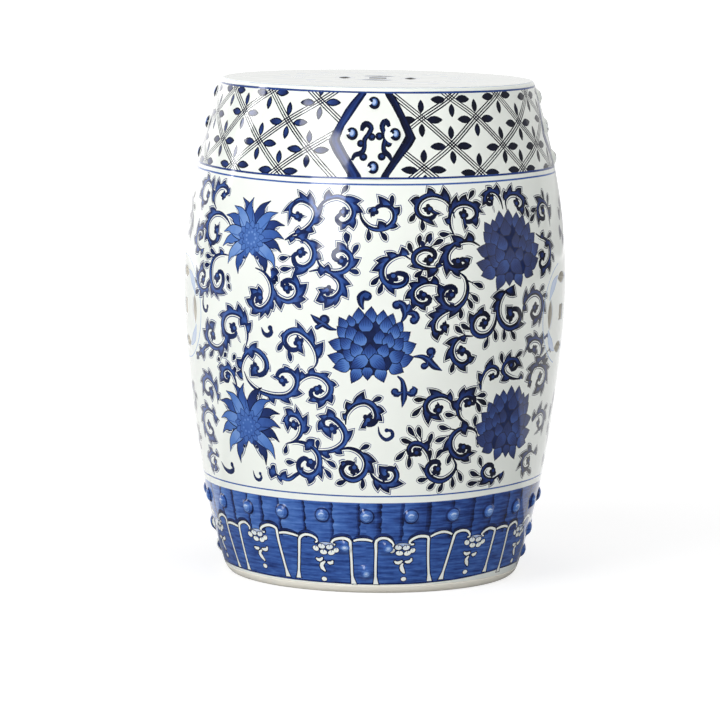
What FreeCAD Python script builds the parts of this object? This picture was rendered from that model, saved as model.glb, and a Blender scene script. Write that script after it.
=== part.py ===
import FreeCAD, Part
import math
import os

# Glazed stoneware garden stool of barrel shape: a thrown wall pierced with coin openings,
# a pierced seat slab luted on its rim, a bare foot ring under it and pressed bosses stuck on
# the outside. Origin at the centre of the foot, +Z up, the front towards -Y. Millimetres.
# Angles are in degrees round the axis, from the front, growing towards +X.

# Barrel outline: radii of the outer face and the heights they are measured at
total_height = 455.0
top_radius = 142.5
upper_band_depth = 80.0
upper_line_radius = 163.7
belly_height = 258.0
belly_radius = 175.2
flank_height = 175.0
flank_radius = 168.4
lower_band_height = 91.0
lower_line_radius = 156.5
foot_radius = 136.0

# Clay sections
wall_thickness = 9.0
seat_thickness = 12.0
seat_edge_round = 4.0
luting_gap = 0.2

# Bare foot ring
foot_height = 8.0
foot_inset = 7.0
foot_base_width = 8.0
foot_edge_bulge = 1.0

# Coin openings in the wall: two linked coins on each side
coin_height = 247.0
coin_half_spacing = 37.5
leaf_offset = 32.0
leaf_length = 26.5
leaf_width = 10.0
shared_leaf_width = 11.0
coin_square = 14.0
square_corner = 1.5

# Coin opening in the middle of the seat
seat_leaf_offset = 30.0
seat_leaf_length = 28.0
seat_leaf_width = 10.0
seat_square = 15.0

# Pressed bosses
boss_diameter = 14.0
boss_rise = 3.4
ring_boss_count = 24
ring_boss_height = 73.0
upper_top_boss_drop = 14.0
upper_side_boss_drop = 41.0
upper_bottom_boss_drop = 69.5
upper_side_boss_angle = 7.0
lower_side_boss_height = 44.0
lower_side_boss_angle = 7.5
lower_bottom_boss_height = 20.5

side_names = ["front", "right", "back", "left"]
side_angles = [0.0, 90.0, 180.0, 270.0]

os.makedirs("parts", exist_ok=True)
axis_origin = FreeCAD.Vector(0, 0, 0)
axis_up = FreeCAD.Vector(0, 0, 1)


def outline_points(inset):
    """Points of the barrel outline in the XZ plane, moved towards the axis by inset."""
    pairs = [
        (foot_radius, foot_height),
        (lower_line_radius, lower_band_height),
        (flank_radius, flank_height),
        (belly_radius, belly_height),
        (upper_line_radius, total_height - upper_band_depth),
        (top_radius, total_height),
    ]
    return [FreeCAD.Vector(radius - inset, 0, height) for radius, height in pairs]


def outline_curve(inset=0.0):
    """Smooth curve of the barrel outline."""
    curve = Part.BSplineCurve()
    curve.interpolate(outline_points(inset))
    return curve


def outline_at(height):
    """Radius of the outer face at a height, and how fast it grows there."""
    curve = outline_curve()
    low = curve.FirstParameter
    high = curve.LastParameter
    for _ in range(60):
        middle = (low + high) / 2
        if curve.value(middle).z < height:
            low = middle
        else:
            high = middle
    point = curve.value(low)
    tangent = curve.tangent(low)[0]
    return point.x, tangent.x / tangent.z


def turned(edges):
    """Solid of revolution about the axis from the edges of a closed section."""
    face = Part.Face(Part.Wire(edges))
    return face.revolve(axis_origin, axis_up, 360)


def line(start, end):
    return Part.LineSegment(FreeCAD.Vector(*start), FreeCAD.Vector(*end)).toShape()


def barrel_form(extra=0.0):
    """The whole barrel as a filled form, with its face moved out by extra."""
    curve = outline_curve(-extra)
    bottom = curve.StartPoint
    top = curve.EndPoint
    edges = [
        curve.toShape(),
        line((top.x, 0, top.z), (0, 0, top.z)),
        line((0, 0, top.z), (0, 0, bottom.z)),
        line((0, 0, bottom.z), (bottom.x, 0, bottom.z)),
    ]
    return turned(edges)


def placed(shape, angle, radius, height):
    """Stand a shape, drawn facing +X at the origin, on the circle of a radius at an angle."""
    copy = shape.copy()
    copy.translate(FreeCAD.Vector(radius, 0, height))
    copy.rotate(axis_origin, axis_up, angle - 90)
    return copy


def turned_on_x(shape, angle):
    copy = shape.copy()
    copy.rotate(axis_origin, FreeCAD.Vector(1, 0, 0), angle)
    return copy


def leaf_face(length, width):
    """Pointed leaf in the YZ plane, its tips up and down."""
    tip = length / 2
    side = width / 2
    top = FreeCAD.Vector(0, 0, tip)
    bottom = FreeCAD.Vector(0, 0, -tip)
    right = Part.Arc(top, FreeCAD.Vector(0, side, 0), bottom).toShape()
    left = Part.Arc(bottom, FreeCAD.Vector(0, -side, 0), top).toShape()
    return Part.Face(Part.Wire([right, left]))


def bar_of(face, depth):
    """Bar of a depth along X, half of it on each side of a face in the YZ plane."""
    moved = face.copy()
    moved.translate(FreeCAD.Vector(-depth / 2, 0, 0))
    return moved.extrude(FreeCAD.Vector(depth, 0, 0))


def square_bar(side, depth):
    """Square bar along X with softened long edges."""
    block = Part.makeBox(depth, side, side, FreeCAD.Vector(-depth / 2, -side / 2, -side / 2))
    long_edges = [edge for edge in block.Edges if abs(edge.Length - depth) < 0.001]
    return block.makeFillet(square_corner, long_edges)


def wall_cutters():
    """Bars that pierce two linked coins in the wall at each side of the barrel."""
    radius, _ = outline_at(coin_height)
    depth = 4 * wall_thickness
    upright = bar_of(leaf_face(leaf_length, leaf_width), depth)
    level = turned_on_x(upright, 90)
    shared = bar_of(leaf_face(leaf_length, shared_leaf_width), depth)
    square = square_bar(coin_square, depth)
    coin_turn = math.degrees(coin_half_spacing / radius)
    outer_turn = math.degrees((coin_half_spacing + leaf_offset) / radius)
    cutters = []
    for side in (90.0, 270.0):
        cutters.append(placed(shared, side, radius, coin_height))
        for way in (-1, 1):
            at_coin = side + way * coin_turn
            at_outer = side + way * outer_turn
            cutters.append(placed(level, at_coin, radius, coin_height + leaf_offset))
            cutters.append(placed(level, at_coin, radius, coin_height - leaf_offset))
            cutters.append(placed(upright, at_outer, radius, coin_height))
            cutters.append(placed(square, at_coin, radius, coin_height))
    return cutters


def seat_cutters():
    """Bars that pierce one coin in the middle of the seat."""
    depth = 4 * seat_thickness
    leaf = bar_of(leaf_face(seat_leaf_length, seat_leaf_width), depth)
    leaf.translate(FreeCAD.Vector(0, seat_leaf_offset, 0))
    cutters = [turned_on_x(leaf, turn) for turn in (0, 90, 180, 270)]
    cutters.append(square_bar(seat_square, depth))
    for cutter in cutters:
        cutter.rotate(axis_origin, FreeCAD.Vector(0, 1, 0), 90)
        cutter.translate(FreeCAD.Vector(0, 0, total_height))
    return cutters


def seat_layer():
    """The space from the underside of the seat up, wider than the barrel."""
    underside = FreeCAD.Vector(0, 0, total_height - seat_thickness)
    return Part.makeCylinder(2 * belly_radius, 2 * seat_thickness, underside)


def barrel_wall():
    """Thrown wall: hollow barrel from the foot ring up to the underside of the seat."""
    outer = outline_curve()
    inner = outline_curve(wall_thickness)
    outer_start = outer.StartPoint
    inner_start = inner.StartPoint
    outer_end = outer.EndPoint
    inner_end = inner.EndPoint
    edges = [
        outer.toShape(),
        line((outer_end.x, 0, outer_end.z), (inner_end.x, 0, inner_end.z)),
        inner.toShape(),
        line((inner_start.x, 0, inner_start.z), (outer_start.x, 0, outer_start.z)),
    ]
    shell = turned(Part.__sortEdges__(edges))
    return shell.cut(seat_layer()).cut(wall_cutters())


def seat_slab():
    """Seat: flat disc that carries on the barrel outline, pierced with one coin."""
    slab = barrel_form().common(seat_layer())
    rim_edges = []
    for edge in slab.Edges:
        at_top = abs(edge.BoundBox.ZMin - total_height) < 0.01
        level = edge.BoundBox.ZLength < 0.01
        wide = edge.BoundBox.XLength > top_radius
        if at_top and level and wide:
            rim_edges.append(edge)
    slab = slab.makeFillet(seat_edge_round, rim_edges)
    return slab.cut(seat_cutters())


def foot_ring():
    """Bare clay ring that the wall stands on, drawn in towards the ground."""
    base_outer = foot_radius - foot_inset
    base_inner = base_outer - foot_base_width
    bulge_point = FreeCAD.Vector(
        (foot_radius + base_outer) / 2 + foot_edge_bulge,
        0,
        foot_height / 2 - foot_edge_bulge,
    )
    top_point = FreeCAD.Vector(foot_radius, 0, foot_height)
    bottom_point = FreeCAD.Vector(base_outer, 0, 0)
    edges = [
        Part.Arc(top_point, bulge_point, bottom_point).toShape(),
        line((base_outer, 0, 0), (base_inner, 0, 0)),
        line((base_inner, 0, 0), (base_inner, 0, foot_height)),
        line((base_inner, 0, foot_height), (foot_radius, 0, foot_height)),
    ]
    return turned(edges)


def boss_at(height, seat_form):
    """One pressed boss at the front, its back hollowed to the wall it is luted on."""
    radius, slope = outline_at(height)
    half = boss_diameter / 2
    ball_radius = (half ** 2 + boss_rise ** 2) / (2 * boss_rise)
    out_length = math.hypot(1.0, slope)
    normal = FreeCAD.Vector(1 / out_length, 0, -slope / out_length)
    seat_point = FreeCAD.Vector(radius, 0, height)
    centre = seat_point + normal * (boss_rise + luting_gap - ball_radius)
    ball = Part.makeSphere(ball_radius, centre, normal)
    dome = ball.cut(seat_form)
    dome.rotate(axis_origin, axis_up, -90)
    return dome


def turned_copy(shape, angle):
    copy = shape.copy()
    copy.rotate(axis_origin, axis_up, angle)
    return copy


def bosses():
    """Every boss by name: a ring low on the barrel, and four in each panel of each band."""
    seat_form = barrel_form(luting_gap)
    made = {}
    ring_boss = boss_at(ring_boss_height, seat_form)
    for number in range(ring_boss_count):
        turn = number * 360.0 / ring_boss_count
        made["ring_boss_%02d" % (number + 1)] = turned_copy(ring_boss, turn)
    panel_top = boss_at(total_height - upper_top_boss_drop, seat_form)
    panel_side = boss_at(total_height - upper_side_boss_drop, seat_form)
    panel_bottom = boss_at(total_height - upper_bottom_boss_drop, seat_form)
    foot_side = boss_at(lower_side_boss_height, seat_form)
    foot_bottom = boss_at(lower_bottom_boss_height, seat_form)
    for name, angle in zip(side_names, side_angles):
        made[name + "_panel_boss_top"] = turned_copy(panel_top, angle)
        made[name + "_panel_boss_bottom"] = turned_copy(panel_bottom, angle)
        made[name + "_foot_boss_bottom"] = turned_copy(foot_bottom, angle)
        for word, way in (("left", -1), ("right", 1)):
            upper_angle = angle + way * upper_side_boss_angle
            lower_angle = angle + way * lower_side_boss_angle
            made[name + "_panel_boss_" + word] = turned_copy(panel_side, upper_angle)
            made[name + "_foot_boss_" + word] = turned_copy(foot_side, lower_angle)
    return made


nodes = {"barrel_wall": barrel_wall(), "seat_slab": seat_slab(), "foot_ring": foot_ring()}
nodes.update(bosses())
for name, shape in nodes.items():
    shape.exportStep("parts/%s.step" % name)
    print(name, len(shape.Solids), round(shape.Volume / 1000, 2), "cm3", shape.isValid())
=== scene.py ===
import math
import random

import bmesh
import bpy
import numpy as np
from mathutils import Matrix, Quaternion, Vector
from mathutils.geometry import delaunay_2d_cdt


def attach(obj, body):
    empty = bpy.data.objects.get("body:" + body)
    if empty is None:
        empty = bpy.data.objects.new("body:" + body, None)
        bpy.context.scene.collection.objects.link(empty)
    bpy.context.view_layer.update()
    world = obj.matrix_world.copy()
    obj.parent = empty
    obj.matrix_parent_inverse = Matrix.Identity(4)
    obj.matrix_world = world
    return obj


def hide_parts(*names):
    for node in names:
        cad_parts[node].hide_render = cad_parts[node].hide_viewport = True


# Blue and white barrel stool: painted wall and seat, pressed bosses, bare foot ring.
# Angles are degrees round the axis from the front, growing towards +X.
# Lengths are millimetres until a mesh is made, and metres in it.

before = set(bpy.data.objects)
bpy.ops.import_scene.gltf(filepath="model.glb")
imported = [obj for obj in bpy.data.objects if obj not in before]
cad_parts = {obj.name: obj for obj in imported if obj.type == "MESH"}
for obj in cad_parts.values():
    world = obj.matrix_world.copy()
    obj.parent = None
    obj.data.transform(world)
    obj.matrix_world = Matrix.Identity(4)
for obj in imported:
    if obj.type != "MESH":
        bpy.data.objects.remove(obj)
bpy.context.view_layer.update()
mm = 0.001
print("frame loaded")

barrel = {
    "heights": [8.0, 91.0, 175.0, 258.0, 375.0, 455.0],
    "radii": [136.0, 156.5, 168.4, 175.2, 163.7, 142.5],
    "wall": 9.0,        # thickness, level
    "foot": 8.0,        # where the glazed wall ends
    "seatFrom": 443.0,  # underside of the seat
    "top": 455.0,
    "around": 2.5,      # degrees between points along a level line
    "insideBare": 0.55,  # how far the clay shows through inside, and on the hidden rims
    "rimBare": 0.8,
}


def outlineFit():
    # smooth curve through the measured radii: second derivative at each of them
    z = np.array(barrel["heights"])
    r = np.array(barrel["radii"])
    h = np.diff(z)
    count = len(z)
    system = np.eye(count)
    right = np.zeros(count)
    for i in range(1, count - 1):
        system[i, i - 1:i + 2] = [h[i - 1], 2 * (h[i - 1] + h[i]), h[i]]
        right[i] = 6 * ((r[i + 1] - r[i]) / h[i] - (r[i] - r[i - 1]) / h[i - 1])
    system[0, :3] = [h[1], -h[0] - h[1], h[0]]
    system[-1, -3:] = [h[-1], -h[-2] - h[-1], h[-2]]
    return z, r, h, np.linalg.solve(system, right)


outlineZ, outlineR, outlineH, outlineM = outlineFit()


def radiusAt(z):
    # radius of the outer face, and how fast it grows upwards
    z = np.asarray(z, float)
    i = np.clip(np.searchsorted(outlineZ, z) - 1, 0, len(outlineH) - 1)
    h = outlineH[i]
    up = outlineZ[i + 1] - z
    down = z - outlineZ[i]
    m0 = outlineM[i]
    m1 = outlineM[i + 1]
    a = outlineR[i] / h - m0 * h / 6
    b = outlineR[i + 1] / h - m1 * h / 6
    radius = m0 * up ** 3 / (6 * h) + m1 * down ** 3 / (6 * h) + a * up + b * down
    slope = -m0 * up ** 2 / (2 * h) + m1 * down ** 2 / (2 * h) - a + b
    return radius, slope


def wallPoint(angle, z, depth=0.0):
    radius, _ = radiusAt(z)
    t = np.radians(angle)
    r = radius - depth
    return np.stack([r * np.sin(t), -r * np.cos(t), z + 0 * t], -1)


def wallNormal(angle, z):
    _, slope = radiusAt(z)
    size = np.sqrt(1 + slope ** 2)
    t = np.radians(angle)
    return np.stack([np.sin(t) / size, -np.cos(t) / size, -slope / size + 0 * t], -1)


# brush shapes on the flat, in millimetres
def evenLine(points, step=1.8):
    # smooth line through the points, then even steps along it
    p = np.array(points, float)
    long = np.vstack([2 * p[0] - p[1], p, 2 * p[-1] - p[-2]])
    way = []
    for a, b, c, d in zip(long, long[1:], long[2:], long[3:]):
        for s in np.linspace(0, 1, 9)[:-1]:
            bend = (2 * a - 5 * b + 4 * c - d) * s ** 2 + (3 * b - a - 3 * c + d) * s ** 3
            way.append(0.5 * (2 * b + (c - a) * s + bend))
    way = np.array(way + [p[-1]])
    run = np.r_[0, np.cumsum(np.hypot(*np.diff(way, axis=0).T))]
    even = np.linspace(0, run[-1], max(3, int(run[-1] / step) + 1))
    return np.c_[np.interp(even, run, way[:, 0]), np.interp(even, run, way[:, 1])]


def unit(rows):
    # the same directions, each one long
    return rows / np.maximum(np.hypot(*rows.T), 1e-9)[:, None]


def sideways(line):
    d = unit(np.gradient(line, axis=0))
    return np.c_[-d[:, 1], d[:, 0]]


def ribbon(line, widths):
    at = np.linspace(0, 1, len(line))
    half = np.interp(at, np.linspace(0, 1, len(widths)), widths)[:, None] / 2
    side = sideways(line)
    return np.vstack([line + side * half, (line - side * half)[::-1]])


def oneStroke(points, widths, step=1.8):
    return ribbon(evenLine(points, step), widths)


# half outlines: share of the length, share of the width
leafForm = [(0.0, 0.5), (0.22, 0.92), (0.45, 1.0), (0.68, 0.78), (0.88, 0.36)]
petalForm = [(0.0, 0.5), (0.16, 0.84), (0.32, 1.0), (0.48, 0.93), (0.63, 0.72), (0.77, 0.45), (0.89, 0.2)]


def leaf(base, tip, width, bend=0.0, form=leafForm):
    base = np.array(base, float)
    along = np.array(tip, float) - base
    across = np.array([-along[1], along[0]]) / max(np.hypot(*along), 1e-9)
    sides = [[], []]
    for s, w in form:
        middle = base + along * s + across * bend * 4 * s * (1 - s)
        sides[0].append(middle - across * width * w / 2)
        sides[1].append(middle + across * width * w / 2)
    return np.array(sides[0] + [base + along] + sides[1][::-1])


def disc(centre, radius, flat=1.0, turn=0.0, count=10):
    t = np.linspace(0, 2 * math.pi, count, endpoint=False)
    x = radius * np.cos(t)
    y = radius * flat * np.sin(t)
    c = math.cos(math.radians(turn))
    s = math.sin(math.radians(turn))
    return np.c_[centre[0] + x * c - y * s, centre[1] + x * s + y * c]


def leftTurning(points):
    x, y = np.array(points, float).T
    area = np.sum(x * np.roll(y, -1) - np.roll(x, -1) * y)
    return np.c_[x, y] if area > 0 else np.c_[x, y][::-1]


def cornerWays(p):
    # the way outwards at each corner of an outline, and how far a step reaches there
    before = unit(p - np.roll(p, 1, axis=0))
    after = unit(np.roll(p, -1, axis=0) - p)
    out = np.c_[before[:, 1] + after[:, 1], -before[:, 0] - after[:, 0]]
    size = np.maximum(np.hypot(*out.T), 1e-9)[:, None]
    return out / size, 2 / size


def grow(points, distance, most=1.7):
    # outline moved outwards, or inwards where the distance is below zero
    p = leftTurning(points)
    out, reach = cornerWays(p)
    return p + out * (np.minimum(reach, most) * distance)


def belt(table, a0, a1, low, high, k):
    # stripe that keeps to a line whose height wanders round the barrel
    count = max(1, round((a1 - a0) / barrel["around"]))
    a = np.linspace(a0, a1, count + 1)
    z = np.interp(a, *table)
    return np.vstack([np.c_[a * k, z + low], np.c_[a * k, z + high][::-1]])


# cutting a painted sheet into clean triangles
cutting = {
    "join": 0.004,     # mm, points closer than this become one
    "least": 1e-7,     # smallest triangle that is kept
    "lip": 0.02,       # mm, seams closer than this are joined in the finished mesh
}


def clipShape(points, limits):
    # limits: (axis, value, which side is kept)
    shape = [tuple(p) for p in points]
    for axis, limit, way in limits:
        kept = []
        for i, b in enumerate(shape):
            a = shape[i - 1]
            insideA = (a[axis] - limit) * way >= 0
            insideB = (b[axis] - limit) * way >= 0
            if insideA != insideB:
                s = (limit - a[axis]) / (b[axis] - a[axis])
                cross = [a[0] + s * (b[0] - a[0]), a[1] + s * (b[1] - a[1])]
                cross[axis] = limit
                kept.append(tuple(cross))
            if insideB:
                kept.append(b)
        shape = kept
        if len(shape) < 3:
            return None
    return np.array(shape)


def insideShape(px, pz, shape):
    # how often a left-turning outline winds round each point
    x0, z0 = shape.T
    x1, z1 = np.roll(shape, -1, axis=0).T
    px = px[:, None]
    pz = pz[:, None]
    side = (x1 - x0) * (pz - z0) - (px - x0) * (z1 - z0)
    up = (z0 <= pz) & (z1 > pz) & (side > 0)
    down = (z0 > pz) & (z1 <= pz) & (side < 0)
    return up.sum(1) - down.sum(1) > 0


def topShape(px, pz, shapes):
    # the last shape that covers each point, or -1
    order = np.argsort(px)
    sx = px[order]
    sz = pz[order]
    top = np.full(len(px), -1)
    for number, shape in enumerate(shapes):
        low = shape.min(0)
        high = shape.max(0)
        first, last = np.searchsorted(sx, [low[0], high[0]])
        pick = np.arange(first, last)
        pick = pick[(sz[pick] >= low[1]) & (sz[pick] <= high[1])]
        if len(pick):
            top[order[pick[insideShape(sx[pick], sz[pick], shape)]]] = number
    return top


def triangulate(points, edges):
    result = delaunay_2d_cdt([Vector(p) for p in points], edges, [], 0, cutting["join"], False)
    flat = np.array([tuple(v) for v in result[0]])
    faces = np.array(result[2], int)
    a, b, c = flat[faces[:, 0]], flat[faces[:, 1]], flat[faces[:, 2]]
    area = (b[:, 0] - a[:, 0]) * (c[:, 1] - a[:, 1]) - (c[:, 0] - a[:, 0]) * (b[:, 1] - a[:, 1])
    faces[area < 0] = faces[area < 0][:, ::-1]
    return flat, faces[abs(area) > cutting["least"]]


def cutSheet(border, shapes, grid, clear=1.2):
    # border: closed loops; shapes: painted outlines, later ones on top; grid: loose points
    points = []
    edges = []
    for loop in list(border) + list(shapes):
        start = len(points)
        count = len(loop)
        points.extend(map(tuple, loop))
        edges.extend((start + i, start + (i + 1) % count) for i in range(count))
    flat, faces = triangulate(points, edges)
    middle = flat[faces].mean(1)
    top = topShape(middle[:, 0], middle[:, 1], shapes)
    beside = {}
    for number, (a, b, c) in enumerate(faces.tolist()):
        for edge in ((a, b), (b, c), (c, a)):
            beside.setdefault((min(edge), max(edge)), []).append(number)
    seen = [edge for edge, near in beside.items() if len(near) == 1 or top[near[0]] != top[near[1]]]
    used = sorted({i for edge in seen for i in edge})
    place = {old: new for new, old in enumerate(used)}
    kept = flat[used].tolist()
    lines = [(place[a], place[b]) for a, b in seen]
    taken = {(math.floor(x / clear), math.floor(z / clear)) for x, z in kept}
    around = [(i, j) for i in (-1, 0, 1) for j in (-1, 0, 1)]
    for x, z in grid:
        cell = (math.floor(x / clear), math.floor(z / clear))
        if not any((cell[0] + i, cell[1] + j) in taken for i, j in around):
            kept.append((x, z))
    flat, faces = triangulate(kept, lines)
    middle = flat[faces].mean(1)
    return flat, faces, topShape(middle[:, 0], middle[:, 1], shapes)


def gridPoints(x0, x1, z0, z1, step):
    # staggered rows, a little inside the border
    rows = max(1, round((z1 - z0) / step))
    columns = max(1, round((x1 - x0) / step))
    points = []
    for j in range(1, rows):
        for i in range(columns):
            x = x0 + (x1 - x0) * (i + 0.25 + 0.5 * (j % 2)) / columns
            points.append((x, z0 + (z1 - z0) * j / rows))
    return points


def cornerPaint(flat, faces, top, strokes):
    # pigment, wash and bareness at each corner, from the stroke on top there
    paint = np.zeros((len(faces), 3, 3))
    for number in np.unique(top):
        if number < 0:
            continue
        pick = np.nonzero(top == number)[0]
        tone = strokes[number]["tone"]
        if isinstance(tone, tuple):
            a, b, first, last = tone
            way = np.array(b) - a
            s = np.clip(((flat[faces[pick]] - a) @ way) / (way @ way), 0, 1)
            paint[pick, :, 0] = first + (last - first) * s
        else:
            paint[pick, :, 0] = tone
        paint[pick, :, 1] = strokes[number]["wash"]
        paint[pick, :, 2] = strokes[number]["bare"]
    return paint


def openLoops(faces):
    # open edges joined into loops, in the direction of the faces beside them
    edges = set()
    for a, b, c in faces.tolist():
        edges.update(((a, b), (b, c), (c, a)))
    follow = {a: b for a, b in edges if (b, a) not in edges}
    loops = []
    while follow:
        start, now = follow.popitem()
        loop = [start]
        while now != start:
            loop.append(now)
            now = follow.pop(now)
        loops.append(loop)
    return loops


def readyStrokes(strokes, x0, x1, z0, z1, edges):
    # strokes in order, carried over the side borders and clear of the level ones
    ready = []
    for stroke in sorted(strokes, key=lambda s: s["layer"]):
        low = stroke["points"][:, 0].min()
        high = stroke["points"][:, 0].max()
        for turn in (-1, 0, 1):
            move = turn * (x1 - x0)
            if low + move >= x1 or high + move <= x0:
                continue
            limits = [(0, x0, 1), (0, x1, -1), (1, z0 + edges[0], 1), (1, z1 - edges[1], -1)]
            shape = clipShape(stroke["points"] + [move, 0], limits)
            if shape is None:
                continue
            copy = dict(stroke, points=shape)
            if isinstance(stroke["tone"], tuple):
                a, b, first, last = stroke["tone"]
                copy["tone"] = (np.array(a) + [move, 0], np.array(b) + [move, 0], first, last)
            ready.append(copy)
    return ready


# a skin is a closed mesh gathered from sheets, rings and seams
def newSkin():
    return {"points": [], "normals": [], "faces": [], "paint": [], "chart": [], "count": 0}


def addSheet(skin, points, normals, faces, paint, chart):
    # chart: the place of each corner on the flat map named OFBake
    if np.ndim(paint) < 3:
        paint = np.broadcast_to(np.array(paint, float), (len(faces), 3, 3))
    skin["points"].append(points)
    skin["normals"].append(normals)
    skin["faces"].append(np.asarray(faces) + skin["count"])
    skin["paint"].append(paint)
    skin["chart"].append(chart)
    skin["count"] += len(points)


def stitch(lower, upper, closed=True):
    # triangles between two rows of points, given their places along the way, growing
    a = list(lower) + ([lower[0] + 1.0] if closed else [])
    b = list(upper) + ([upper[0] + 1.0] if closed else [])
    n = len(lower)
    m = len(upper)
    faces = []
    i = 0
    j = 0
    while i < len(a) - 1 or j < len(b) - 1:
        if j == len(b) - 1 or (i < len(a) - 1 and a[i + 1] <= b[j + 1]):
            faces.append((i % n, (i + 1) % n, n + j % m))
            i += 1
        else:
            faces.append((i % n, n + (j + 1) % m, n + j % m))
            j += 1
    return np.array(faces)


def rowFaces(count, rows, turned=False, closed=False):
    # triangles between each ring of points and the next
    i = np.arange(count)
    j = (i + 1) % count
    if turned:
        i, j = j, i
    faces = []
    for step in range(rows if closed else rows - 1):
        a = step * count
        b = (step + 1) % rows * count
        faces += [np.c_[a + j, a + i, b + i], np.c_[a + j, b + i, b + j]]
    return np.vstack(faces)


def rowPaint(tones, count):
    # one paint for each pair of rings: a tone alone, or (tone, wash, bare)
    three = [tone if isinstance(tone, tuple) else (tone, 0, 0) for tone in tones]
    return np.vstack([np.broadcast_to(np.array(t, float), (2 * count, 3, 3)) for t in three])


def rowPlaces(count, rows):
    # share of the way round and of the way along, for each point of the rings
    return np.c_[np.tile(np.arange(count) / count, rows), np.repeat(np.arange(rows), count) / rows]


def skinPiece(name, skin, material, nodes, merge=cutting["lip"]):
    points = np.vstack(skin["points"]) * mm
    normals = np.vstack(skin["normals"])
    faces = np.vstack(skin["faces"])
    paint = np.vstack(skin["paint"]).reshape(-1, 3)
    chart = np.vstack(skin["chart"]).reshape(-1, 2)
    mesh = bpy.data.meshes.new(name)
    mesh.from_pydata(points.tolist(), [], faces.tolist())
    colour = np.c_[paint, np.ones(len(paint))]
    mesh.attributes.new("paint", "FLOAT_COLOR", "CORNER").data.foreach_set("color", colour.ravel())
    mesh.uv_layers.new(name="OFBake").data.foreach_set("uv", chart.ravel())
    outward = mesh.attributes.new("outward", "FLOAT_VECTOR", "CORNER")
    outward.data.foreach_set("vector", normals[faces.ravel()].ravel())
    work = bmesh.new()
    work.from_mesh(mesh)
    bmesh.ops.remove_doubles(work, verts=work.verts[:], dist=merge * mm)
    bmesh.ops.dissolve_degenerate(work, edges=work.edges[:], dist=cutting["join"] * mm)
    bmesh.ops.triangulate(work, faces=[f for f in work.faces if len(f.verts) > 3])
    gaps = sum(1 for e in work.edges if len(e.link_faces) != 2)
    work.to_mesh(mesh)
    work.free()
    kept = np.zeros(len(mesh.loops) * 3)
    mesh.attributes["outward"].data.foreach_get("vector", kept)
    mesh.attributes.remove(mesh.attributes["outward"])
    mesh.shade_smooth()
    mesh.normals_split_custom_set(kept.reshape(-1, 3).tolist())
    piece = bpy.data.objects.new(name, mesh)
    bpy.context.scene.collection.objects.link(piece)
    mesh.materials.append(material)
    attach(piece, "root")
    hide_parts(*nodes)
    print(name, len(mesh.polygons), "faces", gaps, "open edges")
    return piece


def put(strokes, layer, points, tone, wash=0.0, bare=0.0, hole=False):
    # tone: 0 white to 1 darkest, or (start, end, first tone, last tone) for a gradient
    strokes.append({"layer": layer, "points": leftTurning(points), "tone": tone, "wash": wash,
                    "bare": bare, "hole": hole})


# the flat of the field: mm to the degree, where it was laid out from, right of the front panel,
# and the half turn that is drawn and repeated
field = {
    "k": 3.0,
    "turn": 1.75,
    "from": -85.0,
    "to": 95.0,
    "over": 500,     # layer of the lines above and below it
    "holes": 900,    # layer of the openings, on top of all
}


def at(points, k=field["k"], turn=field["turn"]):
    # angles and heights, as pairs or one after the other, to places on the flat, k mm to the degree
    a, z = np.reshape(np.array(points, float), (-1, 2)).T
    return np.c_[(a + turn) * k, z]


def halfBelt(table, low, high, k):
    return belt(table, field["from"], field["to"], low, high, k)


def towards(angle):
    return np.array([math.cos(angle), math.sin(angle)])


outline = {
    "gap": 0.42,    # white between a leaf and its fine line
    "line": 0.55,
    "most": 1.15,   # how far the line may run out at a point
}


def outlined(strokes, points, tone, lineTone, gap=outline["gap"], push=0.0):
    # body over a white gap over a fine line, both pushed a little towards the tip
    most = outline["most"]
    put(strokes, 10, grow(points, gap + outline["line"], most) + push, lineTone)
    put(strokes, 11, grow(points, gap, most) + push * 0.5, 0.0)
    put(strokes, 12, points, tone)


def flame(back, front, tip, full=0.68, hollow=0.26):
    # leaf like a flame: full along its back edge, hollow along its front edge
    reach = tip - (back + front) / 2
    across = front - back
    bulge = back + full * reach - 0.24 * across
    dent = front + 0.42 * reach - hollow * across
    t = np.linspace(0, 1, 6)[:, None]
    outer = (1 - t) ** 2 * back + 2 * t * (1 - t) * bulge + t ** 2 * tip
    t = t[1:]
    inner = (1 - t) ** 2 * tip + 2 * t * (1 - t) * dent + t ** 2 * front
    return np.vstack([outer, inner])


dropForm = [(0.0, 0.16), (0.2, 0.5), (0.45, 0.9), (0.66, 1.0), (0.84, 0.74), (0.95, 0.36)]


def drop(strokes, base, tip, width, tone, lineTone, bend=0.0):
    # loose drop with a line all round it
    outlined(strokes, leaf(base, tip, width, bend, dropForm), tone, lineTone, gap=0.75)


scrollForm = {
    # widths from the tail to the curl, times the width of the scroll
    "stem": [0.28, 0.7, 1.05, 1.3, 1.4, 1.4, 1.25, 0.95],
    "patch": [0.1, 0.5, 0.62, 0.5, 0.1],
    "patchFrom": 0.26,    # shares of the length where the light patch starts and ends
    "patchTo": 0.8,
    "white": 0.7,         # left round the stem
    "fineLine": [0.3, 0.8, 1.0, 0.9, 0.3],
    "fineOff": 1.35,      # from the edge of the stem
    "head": (0.9, 0.3),   # radius of the curled head: share of the width, and mm more
    # lobes of the head: degrees behind the travel, how far out, and their size
    "lobes": [(-100, 0.8, 0.62), (-40, 1.0, 0.6), (30, 0.9, 0.62)],
    "lean": 0.45,         # how far a leaf starts behind its tip, unless the tip says
    "stalkFrom": 10.0,    # a leaf longer than this is a drop on a stalk
    "drop": (9.5, 4.9),   # length and width of that drop
    "leafWide": (0.66, 3.8, 6.6),   # share of the length, least and most
}


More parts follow.
